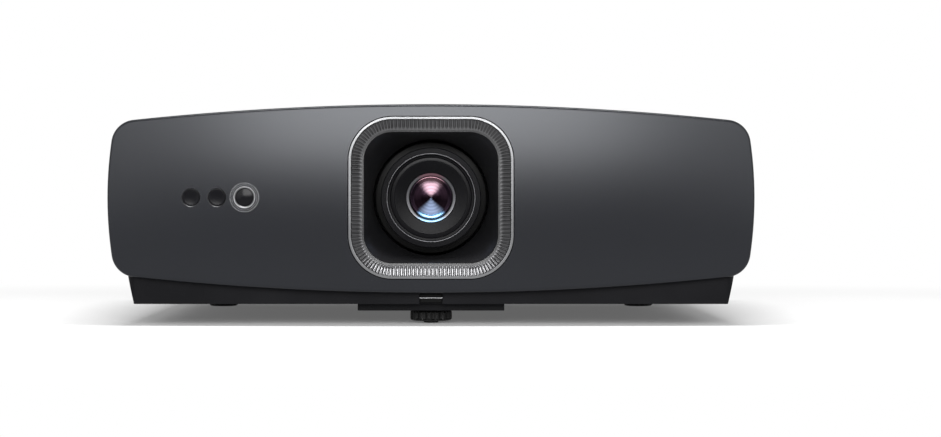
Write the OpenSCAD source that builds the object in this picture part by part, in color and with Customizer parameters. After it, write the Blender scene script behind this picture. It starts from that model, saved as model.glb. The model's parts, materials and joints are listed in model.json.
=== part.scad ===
// Home projector: bowed front shell, ribbed lens recess, shifting zoom lens, lamp engine, fans and feet.
// Millimetres. +Z up, the front faces -Y, the origin is on the table under the middle of the case.

/* [Case] */
// Overall width at the belt line of the front shell
body_w = 420; // [400:2:460]
// Overall depth from the front shell to the rear panel
body_d = 312; // [300:2:380]
// Height of the lens axis and of the widest line of the case
axis_z = 83.4; // [80:0.2:96]
// Height of the crown of the front shell above the lens axis
crown_h = 60.6; // [58:0.2:72]
// Depth of the lower front edge below the lens axis
brow_h = 61.5; // [58:0.5:64]
// Drop of the bowed top edge from the middle to the sides
crown_drop = 11.8; // [6:0.2:14]
// Radius of the bow of each side, seen from the front
side_r = 270; // [220:5:400]
// Radius of the four corners, seen from the front
corner_r = 16; // [10:1:20]
// Depth of the front shell
fascia_d = 30; // [24:1:34]
// Wall of the front shell
fascia_t = 3; // [2.4:0.1:4]
// Width of the softened edge round the front face
fascia_edge = 4; // [2:0.5:5]
// Wall of the top cover
cover_t = 2.6; // [2:0.1:3]
// Step of the top cover inside the front shell
cover_inset = 1.2; // [0.8:0.1:2]
// Thickness of the rear panel
rear_t = 4; // [3:0.5:5]
// Height of the seam between the lower case and the cover
split_z = 34.3; // [33:0.1:37]
// Height of the underside of the lower case
base_z = 14.1; // [12:0.1:15]
// Floor and wall of the lower case
base_t = 2.5; // [2:0.1:3]
// Width lost by each side of the lower case towards its underside
base_taper = 4.9; // [2:0.1:8]
// Setback of the lower case behind the front shell
base_back = 14; // [10:1:18]

/* [Lens recess] */
// Width of the recess over its bright edge
hood_w = 107; // [100:1:112]
// Height of the recess over its bright edge
hood_h = 105; // [98:1:108]
// Corner radius of the recess
hood_r = 28.5; // [20:0.5:34]
// Width of the bright edge
trim_w = 1.8; // [1.2:0.1:3]
// Width of the ribbed slope
rib_w = 7.3; // [5:0.1:9]
// Depth of the ribbed slope
rib_d = 10; // [6:1:14]
// Depth of the whole recess
hood_d = 44; // [40:1:44]
// Radius of the round opening at the back of the recess
hood_back_r = 38.5; // [38:0.5:41]

/* [Lens] */
// Radius of the front ring of the lens
lens_r = 33; // [30:0.5:33]
// Distance of the front ring behind the front face
lens_back = 28; // [24:1:30]
// Outer radius of the lens tube
tube_r = 30; // [28:0.5:30]
// Wall of the lens tube
tube_t = 3; // [2:0.5:4]
// Outer radius of the focus and zoom rings
ring_r = 37; // [35:0.5:38]
// Width of the focus and zoom rings
ring_w = 16; // [12:1:16]
// Radius of the clear part of the front glass
glass_r = 11; // [9:0.5:13]
// Outer radius of the silver ring round the front glass
seat_r = 16.5; // [15:0.5:20]
// Lens shift up or down from the middle
shift_travel = 4; // [2:0.5:4]

/* [Cooling] */
// Side of each square fan
fan_side = 70; // [60:1:72]
// Thickness of each fan
fan_t = 15; // [12:1:20]
// Blades on each rotor
fan_blades = 7; // [5:1:9]
// Width of each slat of the side grilles
slat_w = 3.2; // [2.5:0.1:4]
// Distance from slat to slat
slat_pitch = 6; // [5.5:0.1:8]

/* [Keys] */
// Radius of the round four-way pad
pad_r = 17; // [15:0.5:20]
// Radius of the middle key
ok_r = 7.5; // [6:0.5:9]
// Radius of the power and menu keys
key_r = 5; // [4:0.5:7]
// Key travel
key_travel = 0.6; // [0.4:0.1:0.8]

/* [Feet] */
// Radius of the knurled front knob
knob_r = 14; // [12:0.5:16]
// Radius of the front pad
pad_foot_r = 5; // [4:0.5:8]
// Radius of each rear foot
rear_foot_r = 11; // [9:0.5:14]
// Distance of the rear feet from the middle
rear_foot_x = 160; // [150:1:165]
// Spacing of the ceiling-mount holes across the case
mount_x = 150; // [140:5:170]
// Spacing of the ceiling-mount holes from front to back
mount_y = 120; // [100:5:140]
// Radius of each ceiling-mount hole
mount_hole_r = 2.1; // [1.6:0.1:2.6]

/* [Hidden] */

$fn = 64;
fit = 0.05;
gap = 0.3;
over = 1;

half_w = body_w / 2;
front_y = -body_d / 2;
rear_y = body_d / 2;
cover_y = front_y + fascia_d;
cover_end = rear_y - rear_t;
base_y = front_y + base_back;
base_top_half = half_w - 11.4;
floor_z = base_z + base_t;
skin = cover_inset + cover_t;
crown_z = axis_z + crown_h;
ceiling_z = crown_z - skin;
outline_steps = 24;

// Place a flat drawing made in X and Z between two depths
module slab(y_from, y_to) {
    translate([0, y_to, 0]) rotate([90, 0, 0]) linear_extrude(y_to - y_from) children();
}

// A box from its lowest to its highest corner
module block(low, high) {
    translate(low) cube(high - low);
}

// A straight round bar between two heights
module post(x, y, z_from, z_to, r) {
    translate([x, y, z_from]) cylinder(h = z_to - z_from, r = r);
}

// A round bar along Y on the lens axis
module barrel(y_from, y_to, r) {
    translate([0, y_from, axis_z]) rotate([-90, 0, 0]) cylinder(h = y_to - y_from, r = r);
}

// A rectangle centred on x, z with round corners
module round_rect(w, h, r, x = 0, z = 0) {
    translate([x, z]) offset(r) square([w - 2 * r, h - 2 * r], center = true);
}

function top_z(x) = crown_z - crown_drop * pow(x / half_w, 2);
function brow_z(x) = axis_z - brow_h + crown_drop * pow(x / half_w, 2);
function side_x(z) = half_w - pow(z - axis_z, 2) / (2 * side_r);
function across(i) = -half_w + body_w * i / outline_steps;
function upward(i) = crown_z * 1.1 * i / outline_steps;

// The bowed outline of the case, seen from the front
module outline(inset = 0) {
    offset(delta = -inset) offset(corner_r) offset(delta = -corner_r) intersection() {
        polygon([
            for (i = [0:outline_steps]) [across(i), top_z(across(i))],
            for (i = [outline_steps:-1:0]) [across(i), brow_z(across(i))]
        ]);
        polygon([
            for (i = [0:outline_steps]) [side_x(upward(i)), upward(i)],
            for (i = [outline_steps:-1:0]) [-side_x(upward(i)), upward(i)]
        ]);
    }
}

// A thin layer that follows the outline, between two insets
module layer(y_from, y_to, outer, inner) {
    slab(y_from, y_to) difference() {
        outline(outer);
        outline(inner);
    }
}

// ---- Shells ----
hood_gap = 0.4;
window_r = 5.6;
window_x = [-155.3, -138.4];
camera_x = -120.6;
camera_r = 5.9;
camera_ring_r = 7.2;
window_z = axis_z + 0.2;

module front_bores(x, r) {
    translate([x, front_y - over, window_z]) rotate([-90, 0, 0]) cylinder(h = fascia_t + 2 * over, r = r);
}

module front_fascia() {
    color([0.24, 0.25, 0.27]) difference() {
        hull() {
            slab(front_y + fascia_edge, cover_y) outline();
            slab(front_y, front_y + fascia_edge) outline(fascia_edge);
        }
        slab(front_y + fascia_t, cover_y + over) outline(fascia_t + cover_inset);
        slab(front_y - over, front_y + fascia_d)
            round_rect(hood_w + 2 * hood_gap, hood_h + 2 * hood_gap, hood_r + hood_gap, 0, axis_z);
        for (x = window_x) front_bores(x, window_r + gap / 2);
        front_bores(camera_x, camera_ring_r + gap / 2);
    }
}

grille_y = [cover_y + 18, cover_end - 66];
grille_z = [axis_z - 32, axis_z + 30];
grille_lip = 3;
door_half = 50;
door_y = [cover_y + 14, cover_y + 76];
door_travel = 45;
door_t = 1.7;
door_lip = 1.2;
keypad_y = cover_end - 54;
side_key_x = 42;
cover_screw_x = half_w - 24;
cover_screw_y = [cover_y + 8, cover_end - 9];
screw_r = 1.5;
boss_r = 4;

// The window in one side of the cover, grown by a margin; side is -1 or 1
module side_window(side, margin) {
    mirror([side < 0 ? 1 : 0, 0, 0])
        block([half_w / 2, grille_y[0] - margin, grille_z[0] - margin],
              [half_w + over, grille_y[1] + margin, grille_z[1] + margin]);
}

// The strip of the top that the lens door fills, grown by a margin
module door_strip(margin, length_more, half) {
    block([-half - margin, door_y[0] - margin, axis_z],
          [half + margin, door_y[1] + margin + length_more, crown_z + over]);
}

module top_cover() {
    color([0.17, 0.18, 0.19]) difference() {
        union() {
            intersection() {
                layer(cover_y, cover_end, cover_inset, skin);
                block([-half_w, cover_y, split_z], [half_w, cover_end, crown_z]);
            }
            intersection() {
                layer(cover_y, cover_end, skin - over / 2, skin + cover_t);
                door_strip(3, door_travel + door_lip, door_half + door_lip);
            }
            corners([-key_post_x, key_post_x], key_post_y) post(0, 0, key_board_z + board_t, ceiling_z + over, 3);
            intersection() {
                slab(cover_y, cover_end) outline(skin - over / 2);
                for (side = [-1, 1], y = cover_screw_y) {
                    block([side * cover_screw_x - boss_r, y - boss_r, split_z],
                          [side * cover_screw_x + boss_r, y + boss_r, split_z + 16]);
                    block([min(side * cover_screw_x, side * half_w), y - 1.5, split_z],
                          [max(side * cover_screw_x, side * half_w), y + 1.5, split_z + 16]);
                }
            }
        }
        for (side = [-1, 1]) side_window(side, 0);
        intersection() {
            layer(cover_y, cover_end, 0, cover_inset + door_t / 2);
            door_strip(gap, door_travel, door_half);
        }
        intersection() {
            layer(cover_y, cover_end, cover_inset + door_t / 2 - gap / 2, cover_inset + door_t + gap);
            door_strip(gap, door_travel, door_half + door_lip);
        }
        door_strip(-6, 0, door_half);
        post(0, keypad_y, ceiling_z - over, crown_z, pad_r + gap);
        for (x = [-side_key_x, side_key_x]) post(x, keypad_y, ceiling_z - over, crown_z, key_r + gap);
        for (side = [-1, 1], y = cover_screw_y)
            post(side * cover_screw_x, y, split_z - over, split_z + 12, screw_r);
        corners([-key_post_x, key_post_x], key_post_y)
            post(0, 0, key_board_z, flange_top + over / 2, key_screw_r);
        status_holes();
    }
}

module lens_door() {
    color([0.15, 0.16, 0.17]) {
        intersection() {
            layer(cover_y, cover_end, cover_inset, cover_inset + door_t);
            door_strip(0, 0, door_half);
        }
        intersection() {
            layer(cover_y, cover_end, cover_inset + door_t / 2 + gap / 2, cover_inset + door_t);
            door_strip(0, 0, door_half + door_lip - 0.1);
        }
        for (i = [0:4])
            block([-14, door_y[1] - 14 + 2.4 * i, crown_z - cover_inset - door_t / 2],
                  [14, door_y[1] - 13 + 2.4 * i, crown_z - cover_inset + 0.6]);
    }
}

module side_grille(side) {
    color([0.08, 0.08, 0.09]) difference() {
        union() {
            intersection() {
                layer(cover_y, cover_end, cover_inset + 0.3, skin + 1.5);
                side_window(side, -gap);
            }
            intersection() {
                layer(cover_y, cover_end, skin + 0.1, skin + 1.5);
                side_window(side, grille_lip);
            }
        }
        for (z = [grille_z[0] + 4:slat_pitch:grille_z[1] - 4], column = [0:3]) {
            bay = (grille_y[1] - grille_y[0] - 10) / 4;
            y = grille_y[0] + 5 + column * bay;
            translate([side * half_w * 0.75, 0, 0])
                block([-half_w / 3, y + 1.2, z], [half_w / 3, y + bay - 1.2, z + slat_pitch - slat_w]);
        }
    }
}

module left_grille() {
    side_grille(-1);
}

module right_grille() {
    side_grille(1);
}

board_z = split_z + 6;
board_t = 1.6;
board_top = board_z + board_t;
socket_back = cover_end - 12;
socket_face = rear_y - 0.5;
hdmi_x = [-78, -50, -22];
hdmi_size = [15.6, 6.6];
usb_x = [6, 30];
usb_size = [14.6, 7.2];
jack_x = [49, 62];
jack_r = 4;
jack_bore_r = 1.8;
inlet_x = 112;
inlet_z = axis_z - 20;
inlet_size = [30, 23];
inlet_mouth = [24.4, 16.4];
inlet_depth = 14;
speaker_x = 162;
speaker_side = 50;
speaker_z = axis_z - 3;
status_x = [-7, 0, 7];
status_r = 1.3;
status_y = keypad_y - 30;

module status_holes() {
    for (x = status_x) post(x, status_y, ceiling_z - over, crown_z, status_r + gap / 2);
}

module rear_opening(x, z_low, size) {
    block([x - size.x / 2 - gap, cover_end - over, z_low - gap],
          [x + size.x / 2 + gap, rear_y + over, z_low + size.y + gap]);
}

module rear_panel() {
    color([0.10, 0.10, 0.11]) difference() {
        intersection() {
            slab(cover_end, rear_y) outline(cover_inset);
            block([-half_w, cover_end, split_z], [half_w, rear_y, crown_z]);
        }
        for (x = hdmi_x) rear_opening(x, board_top, hdmi_size);
        for (x = usb_x) rear_opening(x, board_top, usb_size);
        for (x = jack_x)
            translate([x, cover_end - over, board_top + jack_r]) rotate([-90, 0, 0])
                cylinder(h = rear_t + 2 * over, r = jack_r + gap);
        rear_opening(inlet_x, inlet_z - inlet_size.y / 2, inlet_size);
        for (side = [-1, 1], row = [-4:4])
            block([side * speaker_x - 20, cover_end - over, speaker_z + 5 * row - 1.2],
                  [side * speaker_x + 20, rear_y + over, speaker_z + 5 * row + 1.2]);
    }
}

// ---- Lower case ----
foot_y = cover_y + 22;
post_r = 9;
guide_r = 12;
guide_top = base_z + 10;
drop_travel = 13.8;
niche_half = 7.5;
niche_top = base_z + 6.8;
latch_z = [floor_z + gap, floor_z + gap + 3];
latch_inner = post_r + 0.8;
latch_outer = latch_inner + 2.6;
latch_rear = foot_y + post_r + 4;
press_travel = 2.5;
rear_foot_y = cover_end - 32;
rear_boss_low = base_z - 4.7;
rear_boss_top = floor_z + 14;
thread_r = 3;
rear_thread_r = 4;
clip_r = 6;
rear_clip_r = 7;
clip_t = 1.2;
screw_travel = 6;
mount_boss_r = 5;
mount_mid_y = 10;
mount_depth = 9;
mount_rows = [mount_mid_y - mount_y / 2, mount_mid_y + mount_y / 2];
engine_half = 58;
engine_y = [front_y + 104, front_y + 218];
engine_z = [floor_z + 12, axis_z + 28];
fan_x = half_w - 46;
fan_z = axis_z - 7;
fan_low = fan_z - fan_side / 2;
exhaust_mid = engine_y[0] + 52;
exhaust_y = [exhaust_mid - fan_side / 2 - 2, exhaust_mid + fan_side / 2 + 2];
intake_y = -20;
sink_x = [-152, -104];
sink_z = floor_z + 14;
sink_base = 8;
sink_w = 60;
power_x = [84, 150];
power_y = [-62, 60];
power_z = floor_z + 6;
main_x = [-95, 78];
main_y = [engine_y[1] + 8, socket_back + 6];
board_inset = 6;
plate_half = 48.2;
plate_y = [front_y + 26, foot_y + 24];
plate_low = base_z - 4.9;

module corners(xs, ys) {
    for (x = xs, y = ys) translate([x, y, 0]) children();
}

module tray(inset) {
    low = base_z + inset;
    bottom_half = base_top_half - base_taper - inset;
    intersection() {
        slab(base_y + inset, rear_y - inset) polygon([
            [-bottom_half, low], [bottom_half, low],
            [base_top_half - inset, split_z + (inset > 0 ? over : 0)],
            [-base_top_half + inset, split_z + (inset > 0 ? over : 0)]
        ]);
        translate([0, (base_y + rear_y) / 2, 0]) linear_extrude(split_z + 2 * over)
            round_rect(2 * (base_top_half - inset), rear_y - base_y - 2 * inset, 8);
    }
}

module base_chassis() {
    color([0.07, 0.07, 0.08]) difference() {
        union() {
            difference() {
                tray(0);
                tray(base_t);
            }
            post(0, foot_y, base_z, guide_top, guide_r);
            corners([-rear_foot_x, rear_foot_x], [rear_foot_y])
                post(0, 0, rear_boss_low, rear_boss_top, rear_foot_r);
            corners([-mount_x / 2, mount_x / 2], mount_rows)
                post(0, 0, base_z, base_z + mount_depth + base_t, mount_boss_r);
            corners([-cover_screw_x, cover_screw_x], cover_screw_y) post(0, 0, base_z, split_z, boss_r);
            corners([-45, 45], [engine_y[0] + 8, engine_y[1] - 8])
                block([-5, -5, floor_z - over], [5, 5, engine_z[0]]);
            corners([sink_x[0] + 8, sink_x[1] - 8], exhaust_y)
                block([-4, -20, floor_z - over], [4, 20, sink_z]);
            corners([-fan_x], exhaust_y) fan_cradle();
            corners([fan_x], [intake_y]) fan_cradle();
            corners(power_x + [board_inset, -board_inset], power_y + [board_inset, -board_inset])
                post(0, 0, floor_z - over, power_z, 3);
            corners(main_x + [board_inset, -board_inset], main_y + [board_inset, -board_inset])
                post(0, 0, floor_z - over, board_z, 3);
        }
        slab(front_y - over, cover_y) outline(-gap);
        post(0, foot_y, base_z - over, guide_top + over, post_r + gap);
        block([-niche_half, base_y - over, base_z - over], [niche_half, base_y + base_t + 3, niche_top]);
        for (side = [-1, 1])
            block([side > 0 ? latch_inner - gap : -latch_outer - gap, base_y + base_t, floor_z],
                  [side > 0 ? latch_outer + gap : -latch_inner + gap, latch_rear, latch_z[1] + gap]);
        block([-latch_outer - gap, foot_y + post_r - 1, floor_z],
              [latch_outer + gap, latch_rear + press_travel + gap, latch_z[1] + gap]);
        corners([-rear_foot_x, rear_foot_x], [rear_foot_y]) {
            post(0, 0, rear_boss_low - over, rear_boss_top + over, rear_thread_r + fit);
            post(0, 0, floor_z, rear_boss_top + over, rear_clip_r + gap);
        }
        corners([-mount_x / 2, mount_x / 2], mount_rows)
            post(0, 0, base_z - over, base_z + mount_depth, mount_hole_r);
        corners([-cover_screw_x, cover_screw_x], cover_screw_y) {
            post(0, 0, base_z - over, split_z + over, screw_r);
            post(0, 0, base_z - over, floor_z, 2 * screw_r);
        }
        corners(power_x + [board_inset, -board_inset], power_y + [board_inset, -board_inset])
            post(0, 0, floor_z, power_z + over, screw_r);
        corners(main_x + [board_inset, -board_inset], main_y + [board_inset, -board_inset])
            post(0, 0, floor_z, board_z + over, screw_r);
    }
}

module fan_cradle() {
    for (y = [-fan_side / 2 + 4, fan_side / 2 - 12])
        block([-fan_t / 2, y, floor_z - over], [fan_t / 2, y + 8, fan_low]);
}

module foot_plate() {
    color([0.06, 0.06, 0.07]) difference() {
        block([-plate_half, plate_y[0], plate_low], [plate_half, plate_y[1], base_z]);
        post(0, foot_y, plate_low - over, base_z + over, post_r + gap);
    }
}

module front_post() {
    top = guide_top + drop_travel + 0.2;
    color([0.12, 0.12, 0.13]) difference() {
        union() {
            post(0, foot_y, plate_low - 0.6, top, post_r);
            post(0, foot_y, top, top + 2, guide_r - 1);
        }
        post(0, foot_y, plate_low - over, top + 3, thread_r + fit);
        post(0, foot_y, floor_z, top + 3, clip_r + gap);
        for (z = [guide_top + 1:2.4:top - 2])
            block([-4, foot_y + post_r - 1.2, z], [4, foot_y + guide_r, z + 1.2]);
    }
}

module front_foot() {
    knob_top = plate_low - 0.6;
    color([0.05, 0.05, 0.05]) {
        difference() {
            post(0, foot_y, 1.4, knob_top, knob_r);
            for (i = [0:17]) translate([0, foot_y, 0]) rotate(i * 20 + 10)
                post(knob_r + 1.1, 0, 0, knob_top + over, 2);
        }
        post(0, foot_y, knob_top, floor_z + screw_travel + 2 * clip_t + 1, thread_r);
        post(0, foot_y, 0, 1.4, pad_foot_r);
    }
}

module clip(x, y, z, outer, inner) {
    color("silver") difference() {
        post(x, y, z, z + clip_t, outer);
        post(x, y, z - over, z + clip_t + over, inner + fit);
    }
}

module front_stop() {
    clip(0, foot_y, floor_z + screw_travel + 1, clip_r, thread_r);
}

module rear_stop(side) {
    clip(side * rear_foot_x, rear_foot_y, floor_z + screw_travel + 1, rear_clip_r, rear_thread_r);
}

module rear_stop_left() {
    rear_stop(-1);
}

module rear_stop_right() {
    rear_stop(1);
}

module rear_foot(side) {
    color([0.05, 0.05, 0.05]) translate([side * rear_foot_x, rear_foot_y, 0]) {
        difference() {
            post(0, 0, 0, rear_boss_low, rear_foot_r);
            for (i = [0:15]) rotate(i * 22.5) post(rear_foot_r + 0.8, 0, 2, rear_boss_low + over, 1.5);
        }
        post(0, 0, rear_boss_low, floor_z + screw_travel + 2 * clip_t + 1, rear_thread_r);
    }
}

module rear_foot_left() {
    rear_foot(-1);
}

module rear_foot_right() {
    rear_foot(1);
}

module release_button() {
    face_y = base_y + 0.6;
    fork_y = base_y + base_t + 4;
    color([0.20, 0.20, 0.22]) {
        block([-niche_half + gap, face_y, base_z + 1], [niche_half - gap, face_y + 2, niche_top - gap]);
        block([-5, face_y + 2, latch_z[0]], [5, fork_y, latch_z[1]]);
        block([-latch_outer, fork_y, latch_z[0]], [latch_outer, fork_y + 3, latch_z[1]]);
        for (x = [-latch_outer, latch_inner])
            block([x, fork_y + 3, latch_z[0]], [x + latch_outer - latch_inner, latch_rear, latch_z[1]]);
        block([-latch_inner, latch_rear - 2.4, latch_z[0]], [latch_inner, latch_rear, latch_z[1]]);
        block([-3.5, foot_y + post_r + gap, latch_z[0]], [3.5, latch_rear - 2.4, latch_z[1]]);
    }
}

// ---- Lens recess ----
trim_d = 4;
hood_wall = 2;

// A thin slice of the recess, narrowed on every side, at one depth
module hood_slice(y, narrower) {
    slab(y, y + 0.1)
        round_rect(hood_w - 2 * narrower, hood_h - 2 * narrower, hood_r - narrower, 0, axis_z);
}

module hood_trim() {
    color([0.75, 0.76, 0.78]) slab(front_y, front_y + trim_d) difference() {
        round_rect(hood_w, hood_h, hood_r, 0, axis_z);
        round_rect(hood_w - 2 * trim_w, hood_h - 2 * trim_w, hood_r - trim_w, 0, axis_z);
    }
}

module lens_hood() {
    back_y = front_y + hood_d;
    color([0.10, 0.10, 0.11]) difference() {
        union() {
            slab(front_y + trim_d, front_y + rib_d) round_rect(hood_w, hood_h, hood_r, 0, axis_z);
            hull() {
                hood_slice(front_y + rib_d, hood_wall);
                barrel(back_y - 1, back_y, hood_back_r + hood_wall);
            }
        }
        hull() {
            hood_slice(front_y + trim_d - 0.1, trim_w + 0.6);
            hood_slice(front_y + rib_d, trim_w + rib_w);
        }
        hull() {
            hood_slice(front_y + rib_d - 0.1, trim_w + rib_w);
            barrel(back_y - 4, back_y - 3, hood_back_r);
        }
        barrel(back_y - 4, back_y + over, hood_back_r);
    }
}

// ---- Lens, shift carriage and rings ----
lens_y = front_y + lens_back;
tube_end = front_y + 102;
focus_y = front_y + hood_d + 3;
zoom_y = focus_y + ring_w + 4;
carriage_t = 8.4;
carriage_y = [zoom_y + ring_w + 4, zoom_y + ring_w + 4 + carriage_t];
frame_y = [carriage_y[0], engine_y[0]];
rod_x = 48;
rod_y = (carriage_y[0] + carriage_y[1]) / 2;
rod_r = 3;
frame_half = 56;
carriage_half_h = 41.5;
frame_reach = carriage_half_h + shift_travel + 0.5;
frame_top = frame_reach + 4;
dial_x = 36;
dial_shaft_r = 2;
dial_r = 8;
cell_r = tube_r - tube_t - fit;
cell_y = lens_y + 6;

module shift_frame() {
    color([0.55, 0.56, 0.58]) {
        difference() {
            union() {
                block([-frame_half, frame_y[1] - 4, axis_z - frame_top],
                      [frame_half, frame_y[1], axis_z + frame_top]);
                for (low = [-frame_top, frame_reach])
                    block([-frame_half, frame_y[0], axis_z + low],
                          [frame_half, frame_y[1] - 4, axis_z + low + frame_top - frame_reach]);
            }
            barrel(frame_y[0], frame_y[1] + over, tube_r + shift_travel + 1);
            for (x = [-rod_x, rod_x])
                post(x, rod_y, axis_z - frame_top - over, axis_z + frame_top + over, rod_r);
            post(dial_x, rod_y, axis_z - frame_top - over, axis_z + frame_top + over, dial_shaft_r + fit);
        }
        for (x = [-rod_x, rod_x]) post(x, rod_y, axis_z - frame_top, axis_z + frame_top, rod_r);
    }
}

module lens_carriage() {
    color([0.20, 0.20, 0.22]) difference() {
        block([-frame_half + 1, carriage_y[0], axis_z - carriage_half_h],
              [frame_half - 1, carriage_y[1], axis_z + carriage_half_h]);
        barrel(carriage_y[0] - over, carriage_y[1] + over, tube_r);
        for (x = [-rod_x, rod_x])
            post(x, rod_y, axis_z - frame_top, axis_z + frame_top, rod_r + fit);
        post(dial_x, rod_y, axis_z - frame_top, axis_z + frame_top, dial_shaft_r + fit);
    }
}

module shift_dial() {
    low = axis_z + frame_top + 0.2;
    color([0.16, 0.16, 0.17]) {
        difference() {
            post(dial_x, rod_y, low, low + 3.4, dial_r);
            for (i = [0:17]) translate([dial_x, rod_y, 0]) rotate(i * 20)
                block([dial_r - 0.6, -0.5, low - over], [dial_r + over, 0.5, low + 5]);
        }
        post(dial_x, rod_y, axis_z - frame_top + 1, low, dial_shaft_r);
    }
}

module lens_barrel() {
    color([0.09, 0.09, 0.10]) difference() {
        union() {
            barrel(lens_y, lens_y + 8, lens_r);
            barrel(lens_y + 8, tube_end, tube_r);
        }
        barrel(lens_y - over, lens_y + 4, tube_r - tube_t + 1.5);
        barrel(lens_y, tube_end + over, tube_r - tube_t);
    }
}

module turning_ring(y, lever) {
    difference() {
        union() {
            barrel(y, y + ring_w, ring_r);
            if (lever) block([-3, y + 5, axis_z + ring_r - 1], [3, y + 11, axis_z + ring_r + 13]);
        }
        barrel(y - over, y + ring_w + over, tube_r + fit);
        for (i = [0:23]) translate([0, 0, axis_z]) rotate([0, i * 15 + 7.5, 0])
            block([-0.8, y + 2, ring_r - 0.8], [0.8, y + ring_w - 2, ring_r + over]);
    }
}

module focus_ring() {
    color([0.12, 0.12, 0.13]) turning_ring(focus_y, false);
}

module zoom_ring() {
    color([0.14, 0.14, 0.15]) turning_ring(zoom_y, true);
}

// A turned piece on the lens axis, drawn as radius and depth from its front
module turned(y) {
    translate([0, y, axis_z]) rotate([-90, 0, 0]) rotate_extrude() children();
}

module focus_cell() {
    color([0.06, 0.06, 0.07]) turned(cell_y) polygon([
        [cell_r - 3, 0], [cell_r, 0], [cell_r, 14], [seat_r - 2.5, 14],
        [seat_r - 2.5, 8], [seat_r, 8], [seat_r, 6]
    ]);
}

module retaining_ring() {
    color([0.70, 0.71, 0.73]) turned(cell_y + 6) polygon([
        [glass_r, 1], [glass_r, 2], [seat_r, 2], [seat_r, 0.3], [seat_r - 1, 0], [seat_r - 2.5, 0.2]
    ]);
}

module front_glass() {
    edge_r = seat_r - 2.5;
    bulge_r = 30;
    depth = bulge_r - sqrt(bulge_r * bulge_r - glass_r * glass_r);
    color([0.25, 0.30, 0.42, 0.6]) intersection() {
        barrel(cell_y + 8 - depth, cell_y + 13, edge_r);
        union() {
            barrel(cell_y + 8, cell_y + 13, edge_r);
            intersection() {
                barrel(cell_y + 8 - depth, cell_y + 9, glass_r - fit);
                translate([0, cell_y + 8 - depth + bulge_r, axis_z]) sphere(bulge_r);
            }
        }
    }
}

module zoom_cell() {
    color([0.30, 0.31, 0.33]) difference() {
        barrel(zoom_y, zoom_y + 12, cell_r);
        barrel(zoom_y - over, zoom_y + 13, cell_r - 7);
    }
}

// ---- Light engine ----
engine_wall = 3;
module_y = [for (y = exhaust_y, step = [-8, 8]) y + step];
pipe_z = sink_z + sink_base / 2;
pipe_r = 3;
prism_side = 24;

module light_engine() {
    low = [-engine_half, engine_y[0], engine_z[0]];
    high = [engine_half, engine_y[1], engine_z[1]];
    color([0.32, 0.33, 0.35]) difference() {
        block(low, high);
        block(low + engine_wall * [1, 1, 1], high - engine_wall * [1, 1, 1]);
        barrel(engine_y[0] - over, engine_y[0] + engine_wall + over, tube_r + shift_travel + 1);
    }
}

module prism() {
    y = engine_y[0] + engine_wall + 6;
    color([0.70, 0.80, 0.85, 0.5]) {
        block([-prism_side / 2, y, axis_z - prism_side / 2],
              [prism_side / 2, y + prism_side, axis_z + prism_side / 2]);
        block([-prism_side / 2 - 2, y, engine_z[0] + engine_wall],
              [prism_side / 2 + 2, y + prism_side, axis_z - prism_side / 2]);
    }
}

module image_chip() {
    y = engine_y[1];
    color([0.10, 0.30, 0.20]) block([-34, y, axis_z - 24], [34, y + 1.6, axis_z + 24]);
    color([0.70, 0.71, 0.73]) {
        block([-20, y + 1.6, axis_z - 18], [20, y + 3, axis_z + 18]);
        for (x = [-19:5:18]) block([x, y + 3, axis_z - 18], [x + 1.2, y + 7, axis_z + 18]);
    }
}

module light_modules() {
    color([0.72, 0.46, 0.28]) for (y = module_y)
        block([-engine_half - 12, y - 7, sink_z - 3], [-engine_half, y + 7, sink_z + 18]);
}

module heat_pipes() {
    color([0.74, 0.45, 0.30]) for (y = module_y)
        translate([sink_x[0] + 3, y, pipe_z]) rotate([0, 90, 0])
            cylinder(h = -engine_half - 12 - sink_x[0] - 3, r = pipe_r);
}

module heat_sinks() {
    color([0.66, 0.67, 0.69]) for (mid = exhaust_y) difference() {
        union() {
            block([sink_x[0], mid - sink_w / 2, sink_z], [sink_x[1], mid + sink_w / 2, sink_z + sink_base]);
            for (y = [mid - sink_w / 2:5:mid + sink_w / 2 - 1])
                block([sink_x[0], y, sink_z + sink_base - over], [sink_x[1], y + 1.2, fan_z + 30]);
        }
        for (y = [mid - 8, mid + 8])
            translate([sink_x[0] + 3, y, pipe_z]) rotate([0, 90, 0]) cylinder(h = fan_side, r = pipe_r);
    }
}

// ---- Fans ----
rotor_r = fan_side / 2 - 3;
hub_r = 15;
pin_r = 1.5;

// Place a fan, drawn about Z with its outer face up, against one side of the case
module place_fan(side, y) {
    translate([side * fan_x, y, fan_z]) rotate([0, side * 90, 0]) children();
}

module fan_frame() {
    difference() {
        translate([0, 0, -fan_t / 2]) linear_extrude(fan_t) square(fan_side, center = true);
        post(0, 0, -fan_t / 2 - over, fan_t / 2 + over, rotor_r + 1);
        for (x = [-1, 1], y = [-1, 1])
            post(x * (fan_side / 2 - 4), y * (fan_side / 2 - 4), -fan_t, fan_t, 2);
    }
    for (i = [0:2]) rotate(i * 120 + 30)
        block([hub_r - 2, -2, -fan_t / 2], [rotor_r + 2, 2, -fan_t / 2 + 1.6]);
    post(0, 0, -fan_t / 2, -fan_t / 2 + 1.6, hub_r);
    post(0, 0, -fan_t / 2, fan_t / 2 - 5, pin_r);
}

module rotor() {
    low = -fan_t / 2 + 2.4;
    high = fan_t / 2 - 1;
    difference() {
        union() {
            post(0, 0, low, high, hub_r);
            intersection() {
                post(0, 0, low, high, rotor_r);
                for (i = [0:fan_blades - 1]) rotate(i * 360 / fan_blades) translate([0, 0, (low + high) / 2])
                    rotate([40, 0, 0]) block([hub_r - 2, -9, -0.7], [rotor_r + over, 9, 0.7]);
            }
        }
        post(0, 0, low - over, fan_t / 2 - 4.6, pin_r + fit);
    }
}

module exhaust_fan_frames() {
    color([0.10, 0.10, 0.11]) for (y = exhaust_y) place_fan(-1, y) fan_frame();
}

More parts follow.
